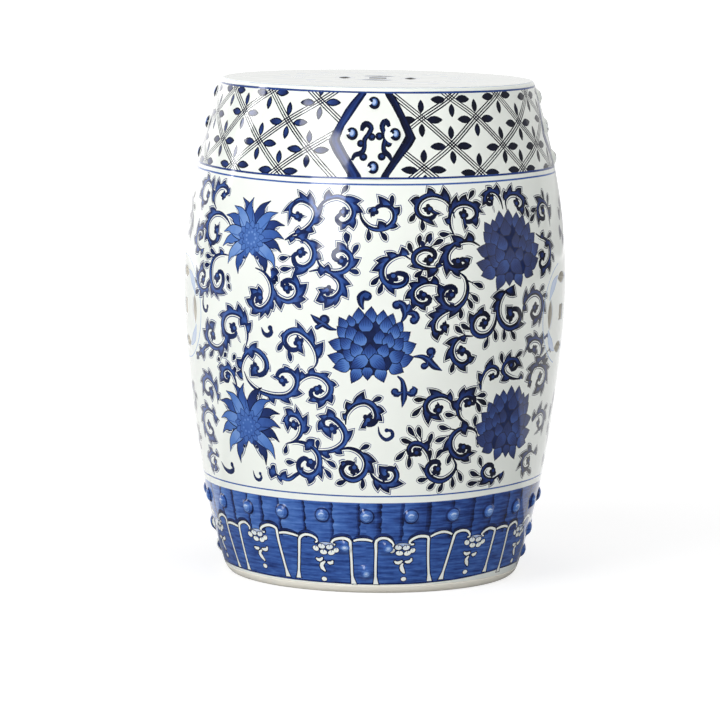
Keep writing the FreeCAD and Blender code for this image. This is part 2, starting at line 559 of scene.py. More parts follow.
def scroll(strokes, path, width, tips, tone, patch, lineTone):
    # leafy scroll: a swelling stem that curls into a ball, a fine line along its hollow side,
    # flames close to it and loose drops farther out
    form = scrollForm
    line = evenLine(at(path), 2.4)
    side = sideways(line)
    step = np.hypot(*(line[1] - line[0]))
    way = np.diff(line, axis=0)
    turning = np.sum(way[:-1, 0] * way[1:, 1] - way[:-1, 1] * way[1:, 0])
    hand = 1.0 if turning > 0 else -1.0
    inward = side * hand
    widths = width * np.array(form["stem"])
    half = np.interp(np.linspace(0, 1, len(line)), np.linspace(0, 1, len(widths)), widths) / 2
    first = int(len(line) * form["patchFrom"])
    last = int(len(line) * form["patchTo"])
    put(strokes, 11, grow(ribbon(line, widths), form["white"]), 0.0)
    put(strokes, 12, ribbon(line, widths), tone)
    fine = (line + inward * (half + form["fineOff"])[:, None])[2:last]
    put(strokes, 12, ribbon(fine, form["fineLine"]), lineTone)
    shade = (line - inward * (half * 0.2)[:, None])[first:last]
    put(strokes, 13, ribbon(shade, np.array(form["patch"]) * width), patch)
    head = form["head"][0] * width + form["head"][1]
    end = line[-1]
    put(strokes, 12, disc(end, head, 0.92, count=10), tone)
    put(strokes, 13, disc(end + [0.2, 0.4], head * 0.5, 0.9, count=7), patch)
    travel = math.atan2(*(end - line[-3])[::-1])
    for swing, out, size in form["lobes"]:
        lobe = end + head * out * towards(travel - hand * math.radians(swing))
        put(strokes, 12, disc(lobe, head * size, count=9), tone)
    d = towards(travel + hand * 0.5)
    across = np.array([-d[1], d[0]]) * head * 0.55 * hand
    put(strokes, 12, flame(end - across, end + across, end + d * head * 2.1), tone)
    for tip in tips:
        point = at([tip[:2]])[0]
        away = np.hypot(*(line - point).T)
        near = int(np.argmin(away))
        length = away[near]
        lean = tip[2] if len(tip) > 2 else form["lean"]
        place = max(0, min(len(line) - 1, near - int(round(lean * length / step))))
        root = line[place]
        reach = point - root
        push = reach / max(np.hypot(*reach), 1e-9)
        if length > form["stalkFrom"]:
            start = root + reach * (1 - min(0.85, form["drop"][0] / length))
            put(strokes, 12, ribbon(np.array([root, start]), [1.6, 1.1]), tone)
            drop(strokes, start, point, form["drop"][1], tone, lineTone, 0.5)
            continue
        share, least, most = form["leafWide"]
        wide = min(max(share * length, least), most)
        spread = way[min(place, len(way) - 1)] / step * wide * (1 if lean > 0 else -1)
        back = root - spread
        front = root + spread
        outlined(strokes, flame(back, front, point), tone, lineTone, push=push * 0.75)
        small = flame(back + 0.35 * spread, front - 0.6 * spread, root + 0.66 * reach)
        put(strokes, 13, small, (root, root + 0.66 * reach, patch, tone - 0.03))


def petal(strokes, layer, base, tip, width, dark, light, bend=0.0, dull=0.0):
    # light at its foot, dark at its tip and edge, with fine streaks that run out from the foot
    base = np.array(base, float)
    tip = np.array(tip, float)
    shape = leaf(base, tip, width, bend, petalForm)
    along = tip - base
    across = np.array([-along[1], along[0]]) / max(np.hypot(*along), 1e-9)
    put(strokes, layer, shape, dark, bare=dull)
    put(strokes, layer, grow(shape, -0.8), (base + 0.2 * along, tip, light, dark - 0.06), bare=dull)
    for spot in (-0.34, -0.18, 0.0, 0.17, 0.33):
        p0 = base + along * 0.3 + across * width * spot * 0.7
        p1 = base + along * 0.86 + across * width * spot * 0.45
        middle = (p0 + p1) / 2 + across * width * spot * 0.4
        streak = ribbon(np.array([p0, middle, p1]), [0.2, 0.55, 0.2])
        put(strokes, layer, streak, 0.4 * light + 0.6 * dark, bare=dull)


# the pierced coins on both sides and in the seat
coins = {
    "height": 247.0,
    "apart": 37.5,       # from the side line to the middle of each coin
    "leafOut": 32.0,
    "leafLong": 26.5,
    "leafWide": 10.0,
    "sharedWide": 11.0,
    "square": 14.0,
    "seatLeafOut": 30.0,
    "seatLeafLong": 28.0,
    "seatLeafWide": 10.0,
    "seatSquare": 15.0,
    "ease": 0.9,         # how far the glaze rounds the edges off
}


def coinLeaf(x, z, long, wide, turn):
    # two arcs that meet in points
    radius = (long ** 2 / 4 + wide ** 2 / 4) / wide
    reach = math.asin(long / 2 / radius)
    t = np.linspace(-reach, reach, 11)[:-1]
    side = np.c_[radius * np.sin(t), radius * np.cos(t) - radius + wide / 2]
    points = np.vstack([side, -side])
    c = math.cos(math.radians(turn))
    s = math.sin(math.radians(turn))
    return np.c_[x + points[:, 0] * c - points[:, 1] * s, z + points[:, 0] * s + points[:, 1] * c]


def coinSquare(x, z, side, corner=1.5):
    points = []
    for turn in range(4):
        for t in np.radians(np.linspace(0, 90, 4) + 90 * turn):
            way = math.radians(45 + 90 * turn)
            middle = (side / 2 - corner) * math.sqrt(2)
            points.append((x + middle * math.cos(way) + corner * math.cos(t),
                           z + middle * math.sin(way) + corner * math.sin(t)))
    return np.array(points)


def coinsAt(side, k):
    # openings of the two linked coins on one side, on the flat at k mm to the degree
    radius = float(radiusAt(coins["height"])[0])
    turned = math.degrees(coins["apart"] / radius)
    outer = math.degrees((coins["apart"] + coins["leafOut"]) / radius)
    h = coins["height"]
    stretch = k / math.radians(radius)
    found = [(side, coinLeaf(0, h, coins["leafLong"], coins["sharedWide"], 90))]
    for way in (-1, 1):
        for lift in (-1, 1):
            up = h + lift * coins["leafOut"]
            found.append((side + way * turned, coinLeaf(0, up, coins["leafLong"], coins["leafWide"], 0)))
        found.append((side + way * outer, coinLeaf(0, h, coins["leafLong"], coins["leafWide"], 90)))
        found.append((side + way * turned, coinSquare(0, h, coins["square"])))
    return [p * [stretch, 1] + [angle * k, 0] for angle, p in found]


def seatOpenings(ease):
    long = coins["seatLeafLong"]
    wide = coins["seatLeafWide"]
    out = coins["seatLeafOut"]
    shapes = [coinLeaf(0, out, long, wide, 0), coinLeaf(0, -out, long, wide, 0),
              coinLeaf(out, 0, long, wide, 90), coinLeaf(-out, 0, long, wide, 90),
              coinSquare(0, 0, coins["seatSquare"])]
    return [grow(shape, ease) for shape in shapes]


# the scroll field
# each scroll: its line from tail to curl as angles and heights, its width, and the tips of
# its leaves, some with how far each leans
scrolls = [
 # top row
 ([-57.5,341, -59.6,347, -59.6,355, -57,361.5, -53.8,361.5, -52.4,357, -54.2,353.5], 3.2, [(-58.8,368),
  (-54.5,367.5), (-62.2,359), (-51.6,355)]),
 ([-61.5,354, -62.8,361, -66,365, -69,359, -69.2,350, -67,344.5, -64.5,345.5, -64.2,351], 3.2,
  [(-62,368.5), (-67.5,370), (-71.5,362), (-71.6,349), (-67.5,338.5)]),
 ([-62.5,304, -65.5,302, -68.6,306.5, -69,315, -67,321, -64.5,319, -64.5,313.5, -66,313], 3.2,
  [(-64.5,296.5), (-69.3,298.5), (-71.6,312), (-68.6,328), (-64,327)]),
 ([-48.8,326.5, -51,333, -54.5,337.5, -58.5,336.5, -61.3,329.5, -61.5,320, -59.8,312.5, -57,310.5,
  -55.4,315, -55.8,322], 3.6, [(-61.8,341), (-64.2,333), (-64.3,322.5), (-62.5,311), (-58,304.5),
  (-54.8,328.5), (-53.2,319)]),
 ([-49,301.5, -53,301.5, -56.2,297, -57.6,288, -57.2,277, -55.2,269, -52.6,269.5, -51,276, -51.2,284,
  -53,286, -54,281.5], 3.8, [(-53.4,306.5), (-58.6,304.5), (-61.2,298.5), (-61.6,289.5), (-60,270),
  (-56.8,262.5), (-53,260.5), (-49.2,267)]),
 ([-57.6,283, -58.2,273, -60.6,267, -63.6,267, -65.8,273, -65.2,281.5, -62.8,285, -61,281, -62,276], 3.4,
  [(-59.5,262), (-64.5,260), (-68.2,262.5), (-68.6,275), (-67.6,286), (-62.5,292)]),
 ([-27.6,320, -25,325, -21.5,329, -19,336, -18.2,345, -20,352.5, -23.5,355.5, -26.2,350, -26.4,343,
  -24.2,340.5], 3.6, [(-29.3,343.5), (-27,333.5), (-23.4,331.5), (-21.5,341), (-24.6,363.5), (-20.7,363),
  (-16,352), (-15.8,340), (-18.3,328)]),
 ([-18.5,336, -17.9,347, -15.4,356, -11.6,359.5, -8,355, -6.5,346.5, -7.6,338.5, -10.2,335.5, -11.8,340.5,
  -10,346], 3.6, [(-14.5,366), (-8.6,369.5), (-4.2,356.5), (-3.6,346), (-6.6,331.5), (-10.6,330)]),
 ([-4.9,351, -4.3,341, -2,333.5, 1,331.5, 4,334.5, 5.6,341, 5.3,348.5, 3.3,352.8, 1,352.3,
  -0.6,348.5], 3.6, [(-2.1,321.5), (3.3,321.8), (6.8,334.5), (7.2,352), (4.9,362), (0.4,361.5),
  (-2,349.5,-0.3), (0.7,339.5,-0.2)]),
 ([24.3,341, 23.2,351, 21,358.5, 17,361.8, 13.6,358, 12.2,350, 13.4,343, 16.2,341, 18,345,
  16.3,349.2], 3.6, [(21,369), (15.8,368.5), (10.2,357), (10,338.5), (14,330.5), (18.2,334.5),
  (20.2,345,-0.2)]),
 ([24,325.5, 22.7,334, 22.7,344, 24.5,351.8, 27.8,354.3, 31,351, 31.9,344, 30.2,338.5, 27.9,338,
  27.2,343], 3.8, [(19,327.5), (20.7,341), (22.5,353), (25.3,362), (28.6,362), (31.6,365), (33.8,352.5),
  (34.6,344), (31.4,332.5), (27.4,329.5,-0.3)]),
 ([42,347, 41.4,355, 39.9,362, 37.4,363.8, 35.6,359, 36,353, 37.8,352.5, 37.7,357], 3.2, [(40.4,369.5),
  (36.3,367.5), (33.4,360), (34,350.5), (38.3,346,-0.3)]),
 ([43.5,346, 43.5,355, 45.8,360, 49,359.6, 51.4,354.5, 51,348.2, 48.9,346, 48.2,351], 3.4, [(43.2,364),
  (46.8,368.5), (51.6,364.5), (53.6,355), (54,348), (53.6,337.5), (50.4,339.5)]),
 ([66.5,327, 66.6,337, 65.8,346, 63,350.8, 60.2,348.5, 59.1,342, 60.4,336, 63,335.8, 62.6,342], 3.4,
  [(69,345), (67.8,356), (63.4,361), (58,355.5), (55,343.5), (54,334.5), (58.8,329.5)]),
 # second row
 ([-27.8,319.5, -24.2,322.7, -20.5,320, -18.2,312, -18.5,302, -21,296.2, -23.8,298.5, -24.6,306,
  -22.6,309.5], 3.8, [(-29.4,303,-0.2), (-28.9,293.5), (-24.7,288.5), (-15.7,304), (-15.6,315.5),
  (-19.8,328.5), (-26,317,-0.3), (-22.3,319,-0.3)]),
 ([-17.5,308, -16.4,299.5, -13.4,293.3, -9.6,293.5, -7.2,300, -7.3,308.5, -9.5,313.5, -12,311, -12,305.5,
  -10,303], 3.8, [(-16,289), (-8.4,284.5), (-4.6,293), (-4.4,306), (-5,318.5), (-8.8,329), (-11.5,320.5),
  (-13.8,300.5,-0.3)]),
 ([10.3,305.5, 8,309.6, 4.6,306.8, 2.3,300, 1.9,291.5, 3.3,284.5, 6.3,282.2, 8.8,285.5, 8.9,291.5,
  6.6,293.5, 5.2,290.8], 4.2, [(7.6,317), (3,312), (0,304.5), (-1.2,295), (-1.2,283), (1,275), (5.8,274),
  (9.9,288,-0.2)]),
 ([20,300, 17,297.2, 13.6,298.3, 11.3,303.2, 11.6,310.7, 14.3,315, 17,313, 17.7,308, 16.2,304.8], 3.8,
  [(9.7,320.5), (9.8,299.5), (11.4,290), (15.2,288.5), (13.2,327), (16.8,328.5), (20.4,322.5),
  (18.6,303,-0.2)]),
 ([32.4,316, 29,320.8, 24.8,319.8, 21.8,313.5, 21,305, 22.6,297.8, 25.8,297, 28,301, 26.6,305,
  24.8,303], 4.2, [(28.5,329), (22.6,326.5), (18.7,313.5), (18.4,300.5), (21.2,289.5), (25.4,289),
  (26.1,315,-0.4), (29.2,305.5,-0.2)]),
 ([56.6,323, 59,319.5, 62.5,316.5, 65,309, 64.9,300, 62.5,293, 59.5,291, 57.9,296, 59.8,302], 3.6,
  [(61.4,324), (67,321), (68.2,309), (68,296), (64.2,286), (58.4,283.5), (61.5,310.5,-0.3),
  (57.3,305.5,-0.3)]),
 # third row
 ([-19.5,293, -16.4,294.8, -12.6,292.3, -10,285.5, -9.8,277, -11.8,270.3, -14.4,269.5, -15.8,273.5,
  -14,277], 3.8, [(-6.8,282.5), (-7.8,270.5), (-11.6,263), (-14.8,260.5), (-17.4,267.5),
  (-16.8,278,-0.3)]),
 ([-31.8,287, -31.2,277.5, -29.6,269.5, -26.5,265.3, -24,267.5, -22.7,274, -23.5,281.5, -26,284.3,
  -28.2,280.5, -26.6,277], 3.8, [(-28.2,257), (-21.6,260.5), (-20,268.5), (-19.9,282.5), (-24.4,292.5),
  (-29,290.5)]),
 ([-37.6,293, -34.2,289.5, -31.7,281, -31.1,271, -32.3,262, -35,256, -37.7,257.5, -38.6,264.5, -37.2,271,
  -35,270.5, -35.6,266.5], 3.9, [(-36.3,277.5,-0.4), (-39.6,274.5,-0.3), (-41,265), (-39,251.5),
  (-35.8,247.5), (-32.8,250.5), (-30.9,256.5), (-28.8,263.5)]),
 ([24.6,294.5, 27.2,288.5, 28,278.5, 26.9,268, 23.9,261.3, 20.9,264.3, 19.6,272, 20.5,279, 22.9,281,
  24.3,276.8, 22.8,273.5], 4, [(33.3,279), (31.6,266.5), (29.6,260.5), (25.8,252), (21.8,252.5),
  (17.9,262.5), (17.2,273), (18.6,284.5)]),
 ([20.2,279.5, 17.5,284.3, 14,284.8, 11.2,279.5, 11,271.5, 12.8,266, 15.4,266.6, 16.2,271.5,
  14.2,274], 3.6, [(9.6,284.5), (8.6,270.5), (11.2,261.5), (15,260), (17.2,291.5), (12.2,291.5)]),
 ([45.6,279.5, 41.5,274, 39.3,265.5, 38.8,255.5, 40.3,246, 43.5,240.7, 46.8,243, 48.2,250, 47,256.7,
  44.6,257.5, 43.8,253], 4.2, [(36.4,270), (36.2,260.5), (38.2,248.5), (41.7,230), (46.4,230),
  (50.6,243.5), (46,269.5,-0.4), (42,261,-0.2)]),
 ([49.4,246, 49.3,256, 50.4,264, 53,269.6, 56.2,270.2, 58.9,264.5, 59.4,255.5, 57.8,248, 55,247, 53.4,252,
  55,256.5], 3.9, [(50.6,275.5), (54.5,277.5), (60.6,275), (62.6,265.5), (62,250.5), (58.2,239.5),
  (54.3,240), (51.2,254.5,-0.3)]),
 # fourth row
 ([-41.3,221.5, -40.4,231, -40.9,241.5, -43.3,249.3, -47,251.2, -50.1,247, -51.2,238.5, -50.2,231,
  -47.6,228.7, -45.2,231.5, -46,236.5], 4, [(-38.7,244.5), (-41.3,255.5), (-44.2,260), (-49.2,257.5),
  (-53,246.5), (-51.4,226), (-48,220.5), (-43.3,239.5,-0.2), (-43.6,225.5,-0.2)]),
 ([-49.8,228.5, -51.3,221, -54.3,215.7, -58,217.3, -60.3,225, -59.4,233, -57,234, -56.6,228], 3.8,
  [(-49.6,213.5), (-53.2,207), (-59.6,207), (-62.8,215.5), (-62.8,230.5), (-59.4,241.5), (-55,239)]),
 ([-59,216.5, -62,214.5, -65,209.5, -68.5,205.5], 3.4, [(-63.8,202.5), (-66.5,214)]),
 ([-18.2,206, -16.9,213, -17.2,223, -19.3,233.5, -22.8,240.3, -26.2,237.5, -27.3,229.8, -25.5,222.8,
  -23,223.3, -22.5,228.5], 4, [(-14.9,231.5), (-18.6,243.5), (-23.3,248.5), (-28.7,234), (-29.7,220.5),
  (-25.3,211.5), (-21,218.5,-0.2)]),
 ([-43.4,193, -43.8,202, -42.2,212.5, -39,219.5, -35.8,217.2, -33.7,209.5, -34.3,200.5, -36.9,196.8,
  -38.2,202], 4, [(-46.2,197), (-45.8,209.5), (-41.5,222.5), (-36.8,226.5), (-33.8,216.5), (-32.6,202.5),
  (-39,210.5,-0.3), (-40,194.5,-0.2)]),
 ([-42.6,198.5, -41,189.5, -37,182, -31.5,178.7, -26.8,180.3, -24,187.5, -23.5,196.5, -25.6,203.2,
  -28.8,202.5, -30.2,197, -28.6,193.5], 3.8, [(-36.7,175.5), (-31.6,171.5), (-25.5,173), (-21.6,183.5),
  (-22.9,208.5), (-27.6,207.5), (-32,196.5,-0.3)]),
 ([-24.2,186.5, -22.3,196, -18.8,201.5, -15,199.3, -12.8,191.5, -13.4,183, -16,177.8, -18.7,180.5,
  -19,186.5, -17.2,188], 3.9, [(-21.8,204.5), (-18,208), (-13,203), (-10.8,192.5), (-12.6,175.5),
  (-17,170.5), (-20.3,177)]),
 ([-46.2,179, -46.6,188, -48,196.5, -50.4,199.6, -52.7,195.3, -52.2,188.5, -50.1,187.5, -50,191.5], 3.2,
  [(-55,198.5), (-50.3,206), (-46.8,201), (-54.5,184.5)]),
 ([30.2,236, 26.7,236, 24.1,230.8, 23.3,222.5, 24.5,214.3, 27,210.7, 29.1,214, 29,220.5, 27,223.5], 3.8,
  [(24.1,246), (20.9,230.5), (21.2,214.5), (23.5,203.5), (28.6,204), (31.4,217.5), (27.7,231,-0.3),
  (25.3,221.5,-0.2)]),
 ([38.4,262, 38.3,252, 37.5,243.5, 35.6,237, 32.6,235.7, 30.2,240, 29.7,247.5, 31.2,254.5, 33.8,256,
  35.5,251.5, 34.2,247], 3.9, [(25.9,247.5), (28.6,257.5), (33.6,262.5), (36.7,256.5), (38.6,230.5),
  (34.3,224)]),
 ([25,260.8, 21.5,259.7, 18.6,255, 17.3,248.5, 17.7,241.5, 19.8,240, 20.8,244.5], 3.4, [(22.3,266),
  (17.5,262.5), (15.3,256.5), (15.2,245), (18.8,233), (21.6,239,-0.3)]),
 ([34.5,187, 34.2,195.5, 35.5,204, 38,207.3, 40.2,204, 40.2,198.5, 38.4,197.5], 3, [(32.7,203),
  (37.8,215.5), (33,193)]),
 ([50.5,193, 46.2,194.8, 43,199.5, 42.3,206.2, 44.5,211.8, 47.6,210.8, 48.2,205, 46,202.5,
  45.6,206.5], 3.6, [(41,219), (45,219.5), (50.4,218), (51.2,203.5), (50.5,198.5), (41,203), (41.6,193)]),
 ([60,210.5, 60.9,218.5, 59.2,226, 55.6,228.7, 53,224.3, 53.8,218, 56.2,218], 3.4, [(63,219),
  (60.8,232.5), (55.6,235), (51.3,230.5), (51,214), (57.5,212.5,-0.3)]),
 ([66.5,215, 62.6,209.5, 58.6,204.5, 56.2,197, 55.8,188], 3, [(63.3,202), (57.2,211.5), (53.5,201),
  (53.4,190.5)]),
 ([56,200, 59.5,202.5, 63.5,201, 66,194.5, 65.5,185.5, 62.5,181.5, 60,185.5, 61.5,191.5], 3.6,
  [(59.5,209), (66.5,207.5), (69,198.5), (68.6,184), (64.5,174.5), (58.5,176.5)]),
 # fifth row
 ([-57,164, -57.1,174, -58.8,183, -62.2,187.3, -65.2,182.8, -65.4,175, -63,171.3, -60.8,174], 3.6,
  [(-55.2,174), (-56.5,188), (-61,195), (-65.5,193), (-68.4,181), (-67.5,169), (-60.5,166,-0.3)]),
 ([-57,148.5, -60.5,154.5, -64.5,157.3, -68.2,152.5, -69.2,142.5, -67.2,133.3, -64,131.5, -62,137,
  -64.5,142.5], 3.6, [(-60.5,161), (-66.5,163.5), (-71,156), (-71.8,143), (-70,130), (-64.5,124),
  (-60,128), (-59.5,144,-0.3)]),
 ([-60.8,114, -64.5,116.5, -67.8,112.5, -67.6,105.5, -64.5,103.5, -63.5,108], 3.2, [(-61.5,120),
  (-67.5,121.5), (-70.5,110.5), (-66,97), (-61.5,103)]),
 ([-27.8,137, -25,139.5, -22.9,146, -22.2,155, -23.8,162.5, -26.4,163, -27.3,157, -25.3,154], 3.6,
  [(-28,168.5), (-24.2,172), (-20.3,165.5), (-19.6,153.5), (-29.3,155.5), (-27.3,147.5)]),
 ([-20.5,134.5, -17,131.6, -12.5,132.8, -9,139.5, -8.4,149, -10.2,158, -13,163.5, -15.4,161, -15.2,154.5,
  -12.8,152.5], 4, [(-14,171.5), (-17.2,164), (-17.2,150.5), (-12.8,143.5), (-5.9,153), (-9.3,130),
  (-14,125), (-17.2,142.5,-0.2)]),
 ([-8.4,157, -8.1,167, -5.8,175.5, -2.6,178.6, 0.1,174.6, 1.2,166.5, 0.3,159.3, -1.7,157.5,
  -1.6,161.5], 4.2, [(-9.5,167.5), (-8.1,178.5), (-2.8,188), (2.6,182.5), (3.6,169.5), (2.9,160.5),
  (-4,153.5,-0.3)]),
 ([-27.8,136.8, -24,139.2, -20,136.7, -17.3,129.3, -16.9,120, -18.3,111.7, -21,108.5, -23.7,112,
  -24.1,119.5, -22,124.5, -20,121], 4.2, [(-18.2,142.5), (-13.2,126.5), (-11.6,117.5), (-13.2,107.5),
  (-16.3,105.5), (-21,100.5), (-21.8,131.5,-0.3), (-29,127), (-28.7,120,-0.2)]),
 ([-11.5,133, -7.5,135.8, -4,132.3, -1.9,123.5, -2.6,113, -5.6,106.8, -8.7,109, -9.9,116, -8.4,122,
  -6,121.5, -5.8,117.8], 4.2, [(-0.9,139), (1.4,123.5), (0.8,112.5), (-3.2,98.5), (-11.7,102.5),
  (-10.2,123,-0.2), (-5.2,126.5,-0.3)]),
 ([-1.2,117, 0.4,109, 3.2,103.3, 6.3,103.8, 7.8,110, 7,116.3, 4.8,117.5, 3.8,112.5], 4.2, [(1.9,96.5),
  (5.7,94.8), (10.4,103.8), (7.2,121.5), (2,120.5,-0.2)]),
 ([-33.5,109.5, -31,104.8, -28,103.8, -25.5,108, -23.6,111.5], 3, [(-35.5,110.5), (-34.8,102.5),
  (-30.8,99.5), (-28.8,111.5), (-32.8,115.5)]),
 ([18.6,121, 17.7,131, 15.6,138.8, 12.7,140.3, 11.3,135.5, 12,130.3, 13.8,131.5], 3.8, [(17.5,143.5),
  (18.6,149.5), (14,156), (10.8,156), (8.7,144.5), (7.2,125.5), (11.6,118)]),
 ([25.4,169.5, 24.1,178.5, 21.1,183.5, 17.6,181.7, 15.9,175, 17,167.3, 19.6,165, 20.2,170], 4,
  [(23.6,187.5), (16.5,190), (12.2,180.5), (11.8,165.5), (17.2,156.5), (21.8,160.5)]),
 ([30.4,157.5, 27.8,161.5, 26.5,169.5, 26.9,178, 29,182.8, 31.8,180.5, 32.2,175, 30.4,175], 3.8,
  [(22.3,166.5), (24,178.5), (28.3,190.5), (32.8,190), (36.5,181.5), (37,172.5), (34.8,166),
  (27.6,169.5,-0.4)]),
 ([34.6,144, 33.4,150, 30,153, 26.6,150, 24.8,142.3, 25.5,132.2, 28.4,126, 31.4,128.5, 31.8,134.5,
  29.6,135], 4.2, [(33.2,163.5), (28.3,160), (20.6,155.5), (19.6,142), (22.2,131), (24.4,120.5),
  (34.6,137), (34.6,130), (32.6,121.5), (30.3,146,-0.4)]),
 ([25.7,127.5, 27.6,118.5, 26.2,110, 22.7,105, 18.9,108.7, 17.5,116.5, 19.2,123, 21.6,122, 21.2,116], 4,
  [(15,121), (14.6,106.5), (18.2,98), (22,94.8), (27,98), (30.2,103.5), (18.4,134.5), (22.3,134.5)]),
 ([46.3,107.2, 43,102.8, 39.5,104.5, 38,110.5, 39.5,116.3, 42,115.8, 42.7,110.5], 3.6, [(36.2,125),
  (33,112), (32.5,100.8), (37,98.8), (42,96.8), (46.6,99.5)]),
 ([66,119, 62.5,123, 58.8,120, 57.6,112.5, 59.8,106.5, 62.8,108.5, 62,114], 3.4, [(67,126), (60,130),
  (55.3,121), (54.8,108), (59.5,99.5), (65.5,101.5)]),
 ([60.5,150.5, 63.5,156.5, 67,158.5, 69.8,153, 69.2,144.5, 66.4,142, 65.2,147], 3.4, [(61,160.5),
  (66,167), (72,162), (72.6,149), (69.8,136), (63.6,138)]),
 # over and under the pierced coins
 ([78,330, 79.5,338, 82.5,344, 86,344, 88.5,338, 87.5,331, 84.5,329, 83.2,333.5], 3.6, [(77,341),
  (81,350.5), (87,352), (91.5,342), (90.5,328), (84.5,321.5)]),
 ([88.5,334, 91.5,341, 95.5,345, 99.5,343, 101.5,336, 99.5,329.5, 96,329.5, 95.5,334.5], 3.6, [(89.5,349),
  (95,354), (102.5,350), (105.5,337), (101.5,323), (95,321.5)]),
 ([78,322, 80.5,315, 84.5,310.5, 89,310.5, 92,315.5, 91,321, 88,321.5, 87.4,317.5], 3.6, [(76,314),
  (81,304), (88.5,302.5), (95,309), (95,320)]),
 ([103.5,330, 103,321, 100.5,314, 96.8,313.5, 95.5,318.5, 97.5,322], 3.4, [(106,318), (103.5,308),
  (97,305.5)]),
 ([78,150, 79.5,159, 82.5,166, 86.5,167.5, 89.5,162, 88.8,154.5, 85.5,152, 84,156.5], 3.8, [(76,161),
  (80,173), (87,176), (92.5,166), (92,151), (85.5,144)]),
 ([89.5,158, 92,166.5, 95.5,172.5, 99.5,172, 102.5,165, 101,157, 97.5,155, 96.2,160], 3.8, [(91,175),
  (97,181.5), (103.5,176), (106,163), (102.5,149), (96.5,147)]),
 ([79,140, 81,131.5, 84.5,126.5, 88.5,128, 90.3,135, 88.5,141, 85.5,140], 3.6, [(76.5,134), (80.5,121.5),
  (87,118.5), (93,126), (93.3,139)]),
 ([91,132, 93.5,124.5, 97,120.5, 100.8,123.5, 101.8,131, 99.3,136, 96.8,133.5], 3.6, [(90.5,121),
  (96,112.5), (102.5,115), (105.5,127), (103.5,139)]),
 ([80,112, 83,106.5, 87,105, 90.5,109, 89.5,115, 86.5,115], 3.4, [(78,104), (86,98.5), (93,104.5),
  (92.5,117)]),
]

# small single strokes: hooks with a ball at the end
commas = [
 ([-61.6,262, -62.2,255, -61.4,249, -59.8,248.5, -59.3,252.5], 3.6),
 ([-35.1,240.5, -34.3,235.3, -32.8,233.6, -31.6,236.8, -32,240.5], 4.6),
 ([1.6,156, 2.1,149, 4,144, 6,147, 5.7,152, 4.2,152.6], 3.6),
 ([-42.2,108, -41.6,101.8, -40,99.8, -38.8,102.4, -39.2,106], 3.2),
 ([-59,110.5, -57,104.7, -54.2,102.8, -52,105.5, -52.5,110], 4.6),
 ([68.5,212, 66.8,216, 66.6,222, 64.4,229, 62.6,227.5], 3.6),
]


# loose drops: where the tip is, and how far it lies from the foot in mm
drops = [(-49, 284, -2, 7), (-48.7, 276, -4, 5), (-50, 213, 5, 4), (-53.5, 207, 5, 2),
         (-46, 213, 4, 6), (-46.5, 202, 1, 7), (-30.5, 288, -3, 6), (-30, 283, 5, 3),
         (13.5, 322, -3, 7), (16.5, 327, 2, 8), (-8.5, 328, -2, 7)]


def sprig(strokes, stems, balls, tone=0.9):
    for path, width in stems:
        line = evenLine(at(path))
        put(strokes, 12, ribbon(line, [1.4, 1.3 * width, 2.0 * width, 1.8 * width, 0.7]), tone)
        shade = ribbon(line + [0.3, 0.3], [0.1, 0.3 * width, 0.6 * width, 0.5 * width, 0.1])
        put(strokes, 13, shade, tone - 0.2)
    for a, z, r in balls:
        ball = at([(a, z)])[0]
        put(strokes, 12, disc(ball, 1.45 * r, 0.95), tone)
        put(strokes, 13, disc(ball - [0.3, -0.3], 0.7 * r, 0.95), tone - 0.18)


# small twigs beside the middle flower: stems, and the balls they end in
sprigs = [
 ([([-3.2,261, -3.9,266, -3.9,272, -2.5,275, -1.1,272.8], 4)], [(-2.3,273,3.2)]),
 ([([7.6,249.5, 8.6,254.5, 8.8,259, 8.2,265, 6.5,267.5, 5.7,264], 3.6), ([8.6,258, 9.6,261,
  10.1,266.5], 4.2), ([9.2,257.5, 11.2,258, 12.2,253.5, 11.2,249.5], 3.6)], [(6.4,265.5,3),
  (11.5,251.8,2.8)]),
 ([([-11,242.3, -13,243.5, -14.8,247, -17,250.5, -18.8,255.2], 3.2), ([-14,246, -15.5,246.5,
  -17.4,242.5], 2.4)], [(-14.6,251,3.4), (-16.8,244,1.7)]),
 ([([11.6,219.2, 14,219.2, 16,216.3, 18,210.5, 20.6,206], 3.4), ([16.2,216.5, 17.2,219, 17.3,222], 2.4),
  ([16,215, 15.6,210.5, 14,211.5], 2.6)], [(16.9,223.3,3.2), (15,210.6,2.4)]),
 ([([7,201.8, 8.4,198, 9,192, 9.2,184, 9,178, 8.7,173.5], 3.2), ([8.7,187, 6.9,185.5, 5.9,189.5], 3.4),
  ([9.4,187.5, 11.5,185.5, 12.4,189, 11.6,192.5], 3.4)], [(6.4,187.5,2.6), (11.9,187.6,2.6)]),
]


